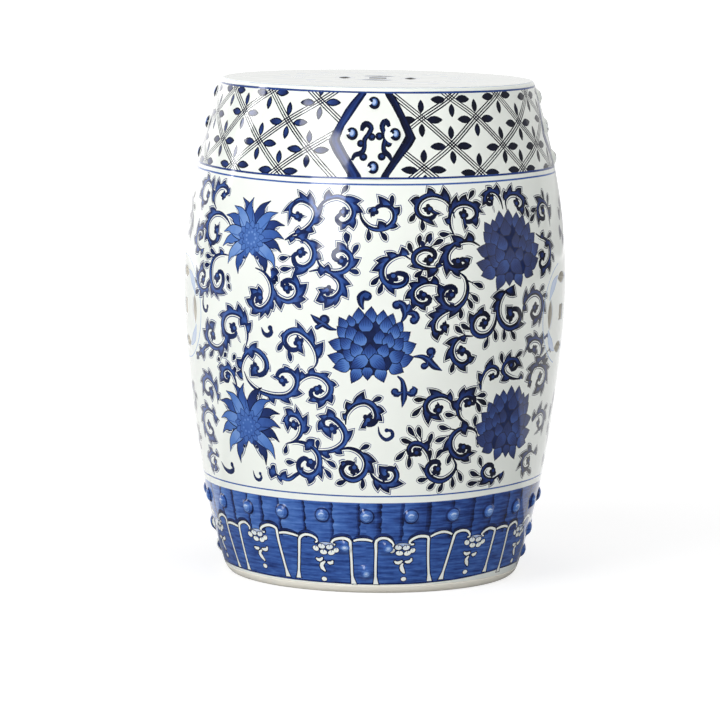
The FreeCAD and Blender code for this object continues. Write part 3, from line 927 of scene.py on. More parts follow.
# petals of the middle flower: tip, base, width
middleFlower = [
    ((-4.6, 263.5), (-4.4, 248), 10), ((-0.9, 264.5), (-1.2, 249), 10), ((2.6, 261.5), (2, 247), 10),
    ((5.4, 258.5), (4, 246), 9), ((-7.4, 256.5), (-6.5, 245), 8), ((8.2, 251.5), (6, 240), 9),
    ((-10.4, 254.5), (-8.2, 243), 8), ((-11, 246), (-8, 236), 9), ((10.7, 241.8), (6.5, 232), 11),
    ((-13.6, 231.5), (-9, 228), 10), ((12.5, 231), (8, 225), 11), ((-13.9, 219.5), (-8.5, 215), 10),
    ((12, 219.2), (6.5, 214), 11), ((-12.3, 208), (-7, 212), 11), ((9, 205), (4.8, 211.5), 11),
    ((-6.7, 194.2), (-4.2, 209), 9.5), ((3.1, 195.5), (1.4, 209), 10), ((-1.8, 197.2), (-1.9, 210), 9),
    ((-7.6, 247.5), (-5.8, 233), 11), ((3.8, 256), (3.2, 240), 10.5),
    ((-2.6, 256.5), (-2.4, 241), 11.5), ((6.6, 249), (5.2, 235), 10), ((-10.2, 236), (-6.8, 226), 10),
    ((8.6, 236.5), (5.6, 226), 10.5), ((-4.8, 243.5), (-3.6, 228), 11), ((1.8, 244.5), (1.4, 230), 10),
    ((4.8, 241.5), (3.8, 227), 10), ((-9.6, 224.5), (-5.4, 217), 10), ((9.2, 223.5), (4.6, 216.5), 11),
    ((-6.8, 232), (-4, 219), 10.5), ((3.8, 231.5), (2, 219), 10), ((-1.2, 232.5), (-1.2, 214), 13),
    ((-7.4, 207.5), (-1.9, 218.5), 10.5), ((3.9, 206.5), (-0.8, 219.5), 11.5),
]


def lotus(strokes, petals, centre, dark, light, layer=40, scale=1.0, mirror=1, dull=0.0):
    cx, cz = at([centre])[0]
    put(strokes, layer, disc((cx, cz - 1), 29 * scale, 0.86, count=22), dark - 0.06)
    for number, (tip, base, width) in enumerate(petals):
        t = at([tip], turn=0.0)[0]
        b = at([base], turn=0.0)[0]
        t = np.array([cx + (t[0] + 4.5) * scale * mirror, cz + (t[1] - 228) * scale])
        b = np.array([cx + (b[0] + 4.5) * scale * mirror, cz + (b[1] - 228) * scale])
        foot = light + 0.05 * math.sin(number * 2.3)
        petal(strokes, layer + 1 + number, b, t, 1.22 * width * scale, dark, foot, dull=dull)


# pointed flower: tip of each petal from the middle, half of its base in degrees, where it hooks
# to, how light it is filled, and whether a small white curl is left open in it
starPetals = [
    ((18, -32), 17, 1, 0.72, True), ((-13, -33), 16, -1, 0.58, True), ((34, -11), 16, 1, 0.7, True),
    ((36, 13), 15, 1, 0.7, True), ((19, 34), 15, 1, 0.72, True), ((-35, 18), 15, -1, 0.56, True),
    ((-15, 35), 14, -1, 0.6, False), ((-36, -10), 15, -1, 0.42, True), ((-1, 36), 14, 1, 0.52, False),
    ((-25, 27), 14, -1, 0.34, False), ((-36, 3), 15, -1, 0.34, False), ((-27, -25), 16, -1, 0.3, False),
    ((28.5, -26), 17, 1, 0.36, False), ((36, 1), 16, 1, 0.55, False), ((28, 24), 16, 1, 0.44, False),
]


def starFlower(strokes, centre, layer=40, dark=0.86, shade=0.0, scale=1.0):
    c = at([centre])[0]
    number = 0
    for tip, half, hook, light, curl in starPetals:
        tip = np.array(tip) * scale
        angle = math.atan2(tip[1], tip[0])
        delta = math.radians(half)
        turned = [angle + hook * delta, angle - hook * delta]
        back, front = [c + 12.5 * scale * towards(t) for t in turned]
        tip = c + tip
        root = (back + front) / 2
        lean = np.array([root[1] - tip[1], tip[0] - root[0]]) * 0.16 * hook
        reach = tip - root
        spread = front - back
        way = [c + 0.6 * (root - c), root + 0.3 * reach + 0.8 * lean, root + 0.66 * reach + lean, tip]
        line = evenLine(way)
        shape = ribbon(line, np.array([9.0, 11.5, 12.4, 11.0, 7.6, 3.4, 0.8]) * scale)
        put(strokes, layer + number, shape, dark + 0.04)
        inside = ribbon(line, np.array([7.0, 9.8, 10.6, 9.2, 5.8, 1.6, 0.1]) * scale)
        put(strokes, layer + number, inside, (root, tip, light + shade, min(light + shade + 0.14, 0.95)))
        if curl:
            eye = root + 0.3 * reach + 0.1 * spread
            swirl = [root + 0.8 * reach, root + 0.55 * reach + 0.16 * spread, eye + 0.16 * spread,
                     eye - 0.06 * reach, eye - 0.14 * spread, eye + 0.1 * reach]
            put(strokes, layer + number, oneStroke(swirl, [0.5, 2.6, 3.0, 2.4, 1.6]), dark)
            put(strokes, layer + number, oneStroke(swirl, [0.2, 1.0, 1.3, 1.0, 0.8], 1.4), 0.08)
            put(strokes, layer + number, disc(eye, 1.5 * scale), dark)
        else:
            line = [root + 0.05 * spread, root + 0.45 * reach - 0.02 * spread, root + 0.85 * reach]
            put(strokes, layer + number, oneStroke(line, [0.5, 0.8, 0.3]), light + shade + 0.24)
        number += 1
    put(strokes, layer + number, disc(c, 14.0 * scale, 0.95, count=18), 0.56 + shade)
    for ring, count, r, w in ((14, 13, 16.0, 6.0), (9, 10, 11.5, 5.6)):
        for j in range(count):
            d = towards(2 * math.pi * (j + 0.3 * ring) / count)
            p = leaf(c + d * (r - 8) * scale, c + d * r * scale, w * scale)
            put(strokes, layer + number, p, 0.72 + shade)
            put(strokes, layer + number, grow(p, -0.6), 0.5 + shade)
            number += 1
    put(strokes, layer + number, disc(c, 8.7 * scale, 0.95, count=16), 0.54 + shade)
    for j in range(9):
        seed = c + towards(2 * math.pi * j / 9) * 5.4 * scale
        put(strokes, layer + number + 1, disc(seed, 1.2, count=6), 0.4 + shade)


fieldForm = {
    # tone, light patch and fine line of the scrolls up to each angle: fuller on the right
    "tones": [(-15, 0.86, 0.62, 0.76), (15, 0.93, 0.66, 0.76), (999, 0.98, 0.78, 0.88)],
    # the lines under and over the field: angles, and the height of their middle
    "lowLine": ([-85, -75, -60, -30, 0, 20, 40, 60, 75, 85, 95],
                [94.0, 93.0, 92.6, 92.0, 91.6, 92.2, 93.8, 95.2, 95.4, 95.0, 94.0]),
    "highLine": ([-85, -65, -40, -25, 0, 20, 40, 60, 95],
                 [372.9, 372.8, 371.0, 370.3, 370.6, 371.0, 372.0, 373.0, 372.9]),
    "coinRim": 47.0,     # radius of the line round each coin
    "coinWash": 37.0,    # radius of the washed crescents in it
    "crescent": 24,      # degrees, half of the reach of one
}

fieldStrokes = []
for path, width, tips in scrolls:
    tone, patch, lineTone = next(row[1:] for row in fieldForm["tones"] if path[0] < row[0])
    scroll(fieldStrokes, path, width, tips, tone, patch, lineTone)
for a, z, x, y in drops:
    point = at([(a, z)])[0]
    drop(fieldStrokes, point - [x, y], point, 4.6, 0.9, 0.7)
for path, width in commas:
    line = evenLine(at(path))
    put(fieldStrokes, 12, ribbon(line, [0.8, 0.7 * width, width, width, 0.7 * width]), 0.86)
    put(fieldStrokes, 12, disc(line[-1], width * 0.55), 0.86)
for stems, balls in sprigs:
    sprig(fieldStrokes, stems, balls)
lotus(fieldStrokes, middleFlower, (-1.5, 228), 0.95, 0.47)
lotus(fieldStrokes, middleFlower, (43.5, 310), 0.92, 0.72, layer=90, scale=1.03, dull=0.035)
lotus(fieldStrokes, middleFlower, (47.3, 152), 0.92, 0.7, layer=150, mirror=-1, dull=0.02)
starFlower(fieldStrokes, (-40, 319))
starFlower(fieldStrokes, (-42.8, 149), layer=300, dark=0.9, shade=0.04, scale=1.08)
for name, half, tone in (("highLine", 0.75, 0.6), ("lowLine", 0.65, 0.62)):
    put(fieldStrokes, field["over"], halfBelt(fieldForm[name], -half, half, field["k"]), tone)


def arcRound(middle, radius, first, last, step):
    t = np.radians(np.arange(first, last, step))
    return middle + np.c_[np.cos(t), np.sin(t)] * radius


for side in (90.0, -90.0):
    # rim line of each coin, and the wash left round it
    turned = math.degrees(coins["apart"] / float(radiusAt(coins["height"])[0]))
    for way in (-1, 1):
        middle = at([side + way * turned, coins["height"]], turn=0.0)[0]
        ring = arcRound(middle, fieldForm["coinRim"], 0, 361, 7.5)
        if way < 0:
            ring = ring[14:-14]
        put(fieldStrokes, 20, ribbon(ring, [0.9, 0.7, 1.0, 0.8, 1.0]), 0.28)
        reach = fieldForm["crescent"]
        for turn in (45, 135, 225, 315):
            crescent = arcRound(middle, fieldForm["coinWash"], turn - reach, turn + reach + 1, reach / 4)
            put(fieldStrokes, 18, ribbon(crescent, [0.8, 6.0, 9.0, 6.0, 0.8]), 0.3)
            put(fieldStrokes, 19, ribbon(crescent, [0.2, 4.6, 7.6, 4.6, 0.2]), 0.14)
    for shape in coinsAt(side, field["k"]):
        put(fieldStrokes, field["holes"], grow(shape, coins["ease"]), 0.0, hole=True)
print("field", len(fieldStrokes), "strokes")




# the band under the seat: lattice, florets and panels, with angles from the front itself
upper = {
    "k": 2.72,
    "lineGap": 2.2,    # between the three lines of each lattice bar
    "lineWide": 1.15,
    # lattice bars, each a chain of crossings: angle and height of each
    "bars": [
        [-92,468, -81.5,447, -71,426, -60,403.3, -50.6,383.3, -41,363],
        [-70.5,469, -60.3,449, -50.3,429.6, -40.2,404.6, -31,381.5, -23,364],
        [-48.5,468, -38.7,449, -29.7,424.2, -21,400.5, -14.5,383, -8,366],
        [-27,460, -18.3,442, -9,422],
        [-92,425, -81,403, -71,383, -62,363],
        [-92,380, -81,403, -71,426, -60.3,449, -51,468],
        [-81,362, -71,383, -60,403.3, -50.3,429.6, -38.7,449, -28,466],
        [-60,362, -50.6,383.3, -40.2,404.6, -29.7,424.2, -18.3,442, -8,460],
        [-40,362, -31,381.5, -21,400.5, -9,420],
        [-92,426, -81.5,447, -71,468],
        [5,453, 16.8,428.6, 26.8,405.1, 36.5,381.5, 45,362],
        [19,465, 28,446, 37.4,428.7, 47.4,403.3, 55.5,382.4, 64,362],
        [40,466, 48.8,447.8, 58.2,422.8, 67.3,401.5, 77,381, 86,362],
        [59,467, 68.5,446, 78.5,424, 88,401, 97,382],
        [6,408, 16.8,385, 26,364],
        [79,467, 88.5,447, 97,425],
        [8,366, 16.8,385, 26.8,405.1, 37.4,428.7, 48.8,447.8, 58,466],
        [6,407, 16.8,428.6, 28,446, 38,466],
        [28,362, 36.5,381.5, 47.4,403.3, 58.2,422.8, 68.5,446, 78,466],
        [47,362, 55.5,382.4, 67.3,401.5, 78.5,424, 88.5,447],
        [68,362, 77,381, 88,401, 97,422],
    ],
    # leaves round a crossing: how far off, and their length and width
    "level": (13.0, -1.5, 15.2, 7.0),
    "upright": [(10.3, 12.0, 6.2), (-11.0, 12.0, 6.2)],
    "floretsFrom": 370,
    "floretsTo": 456,
    # the line under the band: angles, and height of its middle
    "line": ([-85, -65, -40, -25, 0, 20, 40, 60, 95],
             [377.8, 377.4, 376.0, 375.6, 376.1, 376.5, 377.3, 378.0, 377.8]),
}


def latticeBar(strokes, chain, tone):
    line = evenLine(at(chain, upper["k"], 0.0), 5.0)
    side = sideways(line)
    wide = upper["lineWide"]
    for number in (-1, 0, 1):
        offset = side * number * upper["lineGap"]
        put(strokes, 5, ribbon(line + offset, [wide, 0.85 * wide, 1.1 * wide, 0.95 * wide, wide]), tone)


def floret(strokes, a, z, tone, rng):
    # four leaves set off from the crossing, pointed at both ends
    x, z = at([(a, z)], upper["k"], 0.0)[0]
    form = [(0.0, 0.06), (0.1, 0.42), (0.26, 0.84), (0.48, 1.0), (0.7, 0.84), (0.9, 0.4)]
    out, sink, long, wide = upper["level"]
    leaves = [(way * out, sink, long, wide, 90.0 * (1 - way)) for way in (-1, 1)]
    for up, tall, narrow in upper["upright"]:
        leaves.append((0.0, up, tall, narrow, 90.0 if up > 0 else 270.0))
    for right, up, size, across, way in leaves:
        lean = math.radians(way + rng.uniform(-5, 5))
        e = towards(lean) * size / 2
        middle = np.array([x + right, z + up]) + [rng.uniform(-0.4, 0.4), rng.uniform(-0.4, 0.4)]
        shape = leaf(middle - e, middle + e, across, rng.uniform(-0.4, 0.4), form)
        put(strokes, 8, shape, tone)
        if tone < 0.97:
            fade = (middle - e, middle + e, tone - rng.uniform(0.16, 0.3), tone - 0.04)
            put(strokes, 9, grow(shape, -1.3), fade)


panel = {
    "half": 14.6,      # degrees, no florets nearer to the middle
    # border, in degrees from the middle of the panel: the lower and the upper run of its outer
    # edge, then those of its inner edge
    "left": ([(-14.2, 407.5), (-12.3, 397.8), (-9.6, 388), (-7.3, 378.3)],
             [(-5, 449.5), (-7.3, 442.8), (-9.4, 434.8), (-11.1, 425.5), (-12.9, 416.3)],
             [(-10.4, 409.7), (-8.8, 402.2), (-6.1, 390.7), (-2.9, 377.9)],
             [(-2.1, 449), (-4.4, 440), (-6.7, 430.4), (-9.1, 420.7)]),
    "right": ([(14.6, 411), (13, 404), (10.4, 396), (7.7, 386.3), (5.6, 378.3)],
              [(7.1, 449.4), (8.6, 444.5), (10.6, 434), (12.7, 422.5)],
              [(11.1, 413.6), (9.2, 404.8), (5.9, 390.7), (3.0, 377.9)],
              [(4.3, 448.5), (6.8, 438.3), (8.9, 427.8)]),
    # the two vines: their stems, and the balls beside them with where each one joins
    "stems": [
        [-3.3,417, -2.9,421, -1.7,423.3, -0.2,419.8, -1,414.5, -2.3,409.2, -2.3,402.2, -3.2,397.8,
         -5.2,396, -6.1,391.4],
        [5.8,421, 4.9,425.2, 4.1,425, 3.4,421, 3.9,416.3, 4.5,410.6, 3.9,404, 4.2,399.5, 5.65,396,
         6.5,391.2],
    ],
    "balls": [((0.05, 411.9), (-1.2, 413.6), 3.1), ((-3.5, 406.1), (-2.2, 406.8), 3.0),
              ((-2.5, 394.4), (-3.2, 397.4), 3.2), ((2.5, 412.6), (4.0, 414.0), 3.2),
              ((5.4, 406.6), (4.2, 408.0), 3.1), ((3.3, 395.0), (4.2, 398.4), 3.2)],
    "stemWide": [3.0, 5.8, 5.4, 4.6, 4.4, 4.6, 4.2, 5.0, 4.4, 2.4],
}


def panelEdge(below, above):
    # the two runs of one edge as one line from the seat down, with points at even heights
    run = sorted(list(above) + list(below), key=lambda p: p[1])
    z = np.linspace(453.0, 375.0, 40)
    return np.c_[np.interp(z, [p[1] for p in run], [p[0] for p in run]), z]


def hexagonPanel(strokes, turn):
    k = upper["k"]
    border = []
    for side in ("left", "right"):
        runs = panel[side]
        border.append([at(panelEdge(*runs[:2]), k, turn), at(panelEdge(*runs[2:]), k, turn)])
    put(strokes, 19, np.vstack([border[0][0], border[1][0][::-1]]), 0.0)
    for (outer, inner), tone, dip, shift in zip(border, (0.9, 0.99), (0.1, 0.04), (0.0, 0.9)):
        put(strokes, 20, np.vstack([outer, inner[::-1]]), tone)
        # fuller stroke down the middle of the border
        middle = (outer + inner) / 2 + [shift, 0]
        put(strokes, 21, ribbon(middle, [1.2, 4.2, 4.6, 5.4, 4.8, 5.0, 4.2]), tone - dip)
        put(strokes, 22, ribbon(middle + [0.9, 0], [0.2, 1.0, 1.8, 0.8, 1.9, 1.4, 1.2]), tone - dip - 0.06)
    for line in panel["stems"]:
        stem = evenLine(at(line, k, turn))
        put(strokes, 30, ribbon(stem, panel["stemWide"]), 0.95)
        put(strokes, 31, ribbon(stem[4:-6] + [0.4, 0.2], [0.2, 1.4, 1.6, 1.2, 1.5, 0.3]), 0.84)
    for ball, join, r in panel["balls"]:
        ball, join = at([ball, join], k, turn)
        put(strokes, 30, ribbon(evenLine([join, (join + ball) / 2, ball]), [3.6, 4.0, 4.6]), 0.95)
        put(strokes, 30, disc(ball, 1.12 * r, 1.0, count=12), 0.97)
        put(strokes, 31, disc(ball + [0.3, 0.4], 0.5 * r, count=8), 0.8)


upperStrokes = []
rng = random.Random(7)
crossings = set()
for chain in upper["bars"]:
    latticeBar(upperStrokes, chain, 0.97 if chain[0] < 0 else 1.0)
    crossings.update(zip(chain[::2], chain[1::2]))
for a, z in sorted(crossings):
    if abs(a) > panel["half"] and upper["floretsFrom"] < z < upper["floretsTo"]:
        floret(upperStrokes, a, z, 0.95 if a < 0 else 0.99, rng)
hexagonPanel(upperStrokes, 0.0)
hexagonPanel(upperStrokes, 90.0)
put(upperStrokes, field["over"] - 1, halfBelt(upper["line"], -6.0, 0.0, upper["k"]), 0.0)
put(upperStrokes, field["over"], halfBelt(upper["line"], -0.9, 0.9, upper["k"]), 0.74)
seatSideStrokes = [dict(s) for s in upperStrokes]
seatLine = ([field["from"], field["to"]], [449.7, 449.7])
put(seatSideStrokes, field["over"] + 1, halfBelt(seatLine, 0.0, 1.3, upper["k"]), 0.72)
print("upper band", len(upperStrokes), "strokes")


# the blue band at the foot: wash, brush edges, lappets and blossoms
lower = {
    "k": 2.55,
    "wash": 0.64,
    "count": 13,         # lappets round the barrel
    "firstAt": 12.8,     # degrees, middle of one of them
    "dark": 1.0,         # width of the dark line beside the white ones, and its tone
    "darkTone": 0.94,
    # edges of the blue: angles, and heights there
    "top": ([-180, -90, -60, -30, 0, 20, 35, 45, 60, 75, 120, 180],
            [86.5, 86.5, 86.2, 85.8, 85.5, 86.0, 87.3, 88.8, 89.4, 89.4, 88.0, 86.5]),
    "foot": ([-180, -60, -30, 0, 20, 35, 45, 60, 75, 120, 180],
             [9.5, 10.3, 9.2, 8.6, 8.9, 10.3, 12.0, 14.0, 14.0, 11.0, 9.5]),
    # where one brushful starts beside the next, in degrees, and how wide the rest of them are
    "loads": [-61, -53, -45, -38.3, -31, -21.5, -11.6, -2.4, 4.8, 12.4, 21.7, 30.2, 38.5, 46.8, 55],
    "loadWide": 8.13,
    "loadsTo": 299,
    "loadFrom": 50.5,    # mm, lower end of their edges
    "stronger": ([-60, -20, 0, 30, 60], [-0.13, -0.06, 0.0, 0.04, 0.06]),
}

# lappets drawn one after the other, as angles and heights: the middle of each, its left and its
# right line, the arch to the next one, and its blossom; then, in mm from the blossom, the hooks,
# drop and dot under it
lappets = [
    {"middle": 12.8,
     "left": [3.6,9.5, 3.4,20, 3.4,40, 3.3,48, 3.6,50.5, 5,52.8, 7,52.8, 8.5,50.5, 9.4,47.5, 8.9,45.5],
     "right": [24.2,11.5, 23.3,22, 22.5,35, 22,48, 21.8,53, 20,54.3, 18,54, 16,51.5, 15,48.5, 15.6,46.8,
      16.8,47],
     "arch": [22.6,53.5, 24.5,56, 27,57.5, 29.2,56.6, 30.8,54.5],
     "blossom": (12.5, 42),
     "hooks": [[-5.9,-10.8, -3.8,-12.5, -1.3,-12.2, 1.3,-10.4], [9.7,-8.2, 9.4,-10.5, 6.9,-11.8,
      3.8,-11.4]],
     "drop": [2,-13, 0.8,-15.5, 1.8,-19, 4.3,-22.5], "dot": (3.8, -28)},
    {"middle": 40.3,
     "left": [28.8,12.5, 29.6,24, 30.8,42, 31.5,52, 32,55.5, 34,57.3, 36.5,56.8, 38,53.5, 38.2,51,
      37.3,50.5],
     "right": [49.5,15, 49.7,30, 50,45, 50.2,53, 49.8,54.8, 47.5,56.5, 45.5,55.5, 43.8,52.5, 43.7,50.5,
      44.8,50],
     "arch": [51,54.5, 52.6,55.6, 54.5,56, 56.2,55.6, 57.5,54.5],
     "blossom": (40.9, 45.5),
     "hooks": [[-10.2,-9.3, -7.9,-10.9, -5.9,-11.1, -2.8,-10.1], [4.6,-10.7, 3.3,-12.3, 0.8,-12.8,
      -0.5,-12.1]],
     "drop": [-3.8,-13.3, -5.9,-16.5, -4.8,-19.5, -2.8,-22.7], "dot": (-4.3, -28.5)},
    {"middle": -42.5,
     "left": [-51.8,12, -52,30, -52.2,50, -51.5,55, -49,57.5, -47.5,57, -46,54, -46.2,51.5],
     "right": [-31,12, -32,30, -32.8,45, -33,52, -33.2,56.5, -35,58.5, -37,58.5, -39.5,56, -40.5,53,
      -39.8,51.2, -38.6,51.5],
     "arch": [-32.8,52, -31,53.2, -29,53.5, -26.8,52.8, -24.5,51.5],
     "blossom": (-42.8, 47),
     "hooks": [[-6.4,-11.8, -3,-12.7, 0,-11.8], [10.5,-9.5, 9.9,-11.8, 6.6,-12.7, 3.3,-12.2]],
     "drop": [3.1,-13.5, -0.5,-16.5, 1.5,-20, 4.6,-23.5], "dot": (3.3, -28.5)},
    {"middle": -14.7,
     "left": [-26.2,12, -25,30, -24.2,45, -23.8,50, -22,53.3, -20,53.5, -18,51.5, -17.2,48.5, -18,46.8],
     "right": [-4.5,9.6, -5,17, -5.1,30, -5.4,48, -5.6,50, -7,52, -9,52, -11,50.5, -12,48, -11.8,46.2,
      -10.8,45.6],
     "arch": [-4.2,50, -2.8,51.2, -1,51.5, 0.8,51.2, 2.3,50],
     "blossom": (-14.5, 41.5),
     "hooks": [[-9.4,-9.5, -6.9,-11.2, -4.8,-10.5, -3.1,-8.5], [6.4,-11, 5.9,-12.9, 3.3,-13.5,
      1.3,-12.9]],
     "drop": [-0.8,-12.1, -4.3,-15, -4.3,-18, -1.3,-21.5], "dot": (-3.1, -29)},
]
lappetOrder = {0: 0, 1: 1, 11: 2, 12: 3}  # which of them comes where; the rest follow in turn

lappetLine = {
    "left": [2.4, 2.1, 2.1, 2.0, 2.2, 2.4, 2.2, 2.0, 1.4],
    "right": [2.4, 2.1, 2.1, 2.0, 2.2, 2.4, 2.4, 2.2, 1.4],
    "arch": [1.6, 2.0, 2.2, 2.0, 1.6],
    "shadow": 0.84,      # darker wash round the lines
}

# petals of a blossom: middle, half length and half height in mm
blossom = {
    "upper": [(-3.3, 2.1, 3.3, 2.2), (4.1, 1.7, 3.3, 2.2)],
    "lower": [(-8.9, -0.2, 2.9, 2.3), (-1.8, -3.3, 3.4, 2.2), (5.6, -3.5, 3.3, 2.2),
              (10.2, -1.0, 2.6, 2.1)],
    "crown": (0.6, 3.6, 7.2, 2.4),
    "fold": 0.6,
}


def whiteLine(strokes, layer, line, widths):
    shape = ribbon(line, widths)
    put(strokes, layer, grow(shape, lower["dark"]), lower["darkTone"], wash=0.4)
    put(strokes, layer + 1, shape, 0.0)


def rimmed(strokes, layer, middle, r, high, tone, rim, lean=0.0, count=12):
    put(strokes, layer, disc(middle, r + rim, (high + rim) / (r + rim), lean, count), lower["darkTone"])
    put(strokes, layer + 1, disc(middle, r, high / r, lean, count), tone)


def lappet(strokes, shape, turn):
    k = lower["k"]
    shadow = lappetLine["shadow"]
    for key in ("left", "right"):
        line = evenLine(at(shape[key], k, turn), 2.2)
        upperHalf = line[len(line) // 2:] + [0, 1.6]
        put(strokes, 17, ribbon(upperHalf, [2.0, 6.0, 6.4, 5.0, 2.0]), shadow, wash=1.0)
        whiteLine(strokes, 20, line, lappetLine[key])
        foot = line[:4]
        whiteLine(strokes, 20, np.vstack([foot[0] - [0, 0.4], foot]), [5.4, 3.8, 2.2])
    arch = evenLine(at(shape["arch"], k, turn), 2.6)
    put(strokes, 17, ribbon(arch + [0, 1.4], [3.0, 5.5, 6.0, 5.5, 3.0]), shadow, wash=1.0)
    whiteLine(strokes, 18, arch, lappetLine["arch"])
    # blossom of two rows of petals over a striped crown
    centre = at([shape["blossom"]], k, turn)[0]
    x, z, r, high = blossom["crown"]
    rimmed(strokes, 29, centre + [x, z], r, high, 0.14, 0.7, count=16)
    for step in range(-5, 6):
        stripe = centre + [x + step * 1.25, z]
        stripe = np.array([stripe - [0.2, 1.9], stripe, stripe + [0.3, 1.7]])
        put(strokes, 31, ribbon(stripe, [0.4, 0.55, 0.3]), 0.62)
    for row, tone in (("upper", 0.04), ("lower", 0.0)):
        for x, z, r, high in blossom[row]:
            rimmed(strokes, 32, centre + [x, z], r, high, tone, 0.75, 3.0 * x)
            fold = centre + np.array([(x - 0.2, z + 0.2), (x, z + 0.5 * high), (x + 0.1, z + high)])
            put(strokes, 34, ribbon(fold, [0.2, 0.5, 0.7]), blossom["fold"])
    for hook in shape["hooks"]:
        whiteLine(strokes, 36, evenLine(centre + np.reshape(hook, (-1, 2))), [1.2, 2.8, 3.0, 1.2])
    whiteLine(strokes, 36, evenLine(centre + np.reshape(shape["drop"], (-1, 2))), [1.2, 3.4, 3.6, 1.0])
    spot = centre + np.array(shape["dot"])
    put(strokes, 36, disc(spot, 3.4, 0.8, count=12), lower["darkTone"])
    put(strokes, 37, disc(spot, 2.6, 0.76, count=12), 0.0)


def brushful(strokes, start, end, rng):
    # one brushful beside the next: its own strength, and a ragged dark edge where they overlap
    top = float(np.interp(start, *lower["top"])) - 0.4
    x = start * lower["k"]
    wide = (end - start) * lower["k"]
    edge = np.array([(x + rng.uniform(-0.8, 0.8), z) for z in np.linspace(lower["loadFrom"], top, 20)])
    own = rng.uniform(-0.03, 0.04) + float(np.interp(start, *lower["stronger"]))
    far = edge + [wide - 0.6, 0]
    base = lower["wash"] + own
    fade = (edge[0], edge[0] + [wide, 0], base - 0.06, base + 0.06)
    put(strokes, 2, np.vstack([edge, far[::-1]]), fade, wash=1.0)
    dark = rng.uniform(2.4, 3.8)
    fade = (edge[0] - [dark, 0], edge[0], base + 0.06, 0.88)
    put(strokes, 3, np.vstack([edge - [dark, 0], edge[::-1]]), fade, wash=1.0)
    put(strokes, 3, ribbon(edge, [1.0, 1.8, 0.9, 2.0, 1.1, 1.7, 0.8]), 0.88, wash=1.0)


lowerStrokes = []
around = np.linspace(-180, 180, 145)
blue = np.vstack([np.c_[around * lower["k"], np.interp(around, *lower["foot"])],
                  np.c_[around * lower["k"], np.interp(around, *lower["top"])][::-1]])
put(lowerStrokes, 0, blue, lower["wash"], wash=1.0)
put(lowerStrokes, 1, belt(lower["foot"], -180, 180, 0.0, 1.6, lower["k"]), lower["wash"] + 0.18, wash=1.0)
rng = random.Random(21)
loads = list(lower["loads"])
while loads[-1] < lower["loadsTo"] - 0.6 * lower["loadWide"]:
    loads.append(loads[-1] + lower["loadWide"])
loads.append(lower["loadsTo"])
for start, end in zip(loads, loads[1:]):
    shift = 360 if start > 180 else 0
    brushful(lowerStrokes, start - shift, end - shift, rng)
for number in range(lower["count"]):
    shape = lappets[lappetOrder.get(number, number % len(lappets))]
    turn = lower["firstAt"] + number * 360.0 / lower["count"] - shape["middle"]
    if number > lower["count"] // 2:
        turn -= 360.0
    lappet(lowerStrokes, shape, turn)
print("lower band", len(lowerStrokes), "strokes")


# the seat and the lips of the openings
wreath = {
    "pairs": 20,
    "radius": 82.0,
    "apart": 8.0,        # each leaf of a pair from the middle line
    "lean": 0.7,         # radians
}

seatTopStrokes = []
rng = random.Random(11)
for number in range(2 * wreath["pairs"]):
    # washed leaves in pairs along a faint wreath
    a = 2 * math.pi * (number // 2) / wreath["pairs"]
    side = 1 if number % 2 else -1
    centre = np.array([math.sin(a), -math.cos(a)]) * (wreath["radius"] + wreath["apart"] * side)
    reach = towards(a + side * wreath["lean"]) * rng.uniform(9, 12)
    shape = leaf(centre - reach, centre + reach, rng.uniform(8, 11))
    put(seatTopStrokes, 1, shape, rng.uniform(0.04, 0.08))
for shape in seatOpenings(0.0):
    # faint line round each opening
    put(seatTopStrokes, 2, grow(shape, 4.2), 0.34)
    put(seatTopStrokes, 3, grow(shape, 3.4), 0.02)
seatRings = {
    "waver": 0.15,
    "onSide": [(450.3, 0.72), (451.4, 0.72), (452.2, 0.0)],
    "onRound": [(26, 0.0), (44, 0.0), (58, 0.0), (64, 0.45), (76, 0.0), (90, 0.0)],
}
# paint down the seat's openings, one row after another as (tone, wash, bare): the deepening blue-black
# further down is painted shade, with a little bare clay
seatLipPaintedShade = [(0.35, 0, 0.0), (0.85, 0, 0.1), (1.0, 0, 0.2), (1.0, 0, 0.25), (1.0, 0, 0.3), (1.0, 0, 0.5)]
# paint down the wall's openings as (tone, wash, bare): the glaze gives way to bare clay, and the blue
# darkening mixed into it further down is painted shade
wallLipPaintedShade = [(0.02, 0, 0.0), (0.1, 0, 0.3), (0.3, 0, 0.7), (0.6, 0, 0.9), (0.85, 0, 0.9), (0.95, 0, 1.0)]




# inset, depth and tilt of the normal, over the eased edge and down the opening
edgeRings = [(0.0, 0.0, 0), (0.3, 0.06, 25), (0.62, 0.27, 46), (0.84, 0.64, 68), (0.9, 1.3, 90)]


def ringDown(skin, loop, flat, place, depths, paints, chartBox):
    # eased edge and walls of an opening: place(flat points, depth, inward, tilt) gives 3-D
    p = flat[loop]
    inward, stretch = cornerWays(p)
    stretch = np.minimum(stretch, 1.5)
    count = len(loop)
    i = np.arange(count)
    rows = []
    normals = []
    for inset, depth, tilt in depths:
        row, normal = place(p + inward * stretch * inset, depth, inward, tilt)
        rows.append(row)
        normals.append(normal)
    chart = []
    x0, y0, wide, high = chartBox
    steps = len(depths) - 1
    for step in range(steps):
        left = x0 + wide * i / count
        right = x0 + wide * (i + 1) / count
        low = y0 + high * step / steps + 0 * left
        top = y0 + high * (step + 1) / steps + 0 * left
        chart.append(np.stack([np.c_[right, low], np.c_[left, low], np.c_[left, top]], 1))
        chart.append(np.stack([np.c_[right, low], np.c_[left, top], np.c_[right, top]], 1))
    faces = rowFaces(count, steps + 1)
    addSheet(skin, np.vstack(rows), np.vstack(normals), faces, rowPaint(paints, count), np.vstack(chart))
    inset, depth, _ = depths[-1]
    return p + inward * stretch * inset


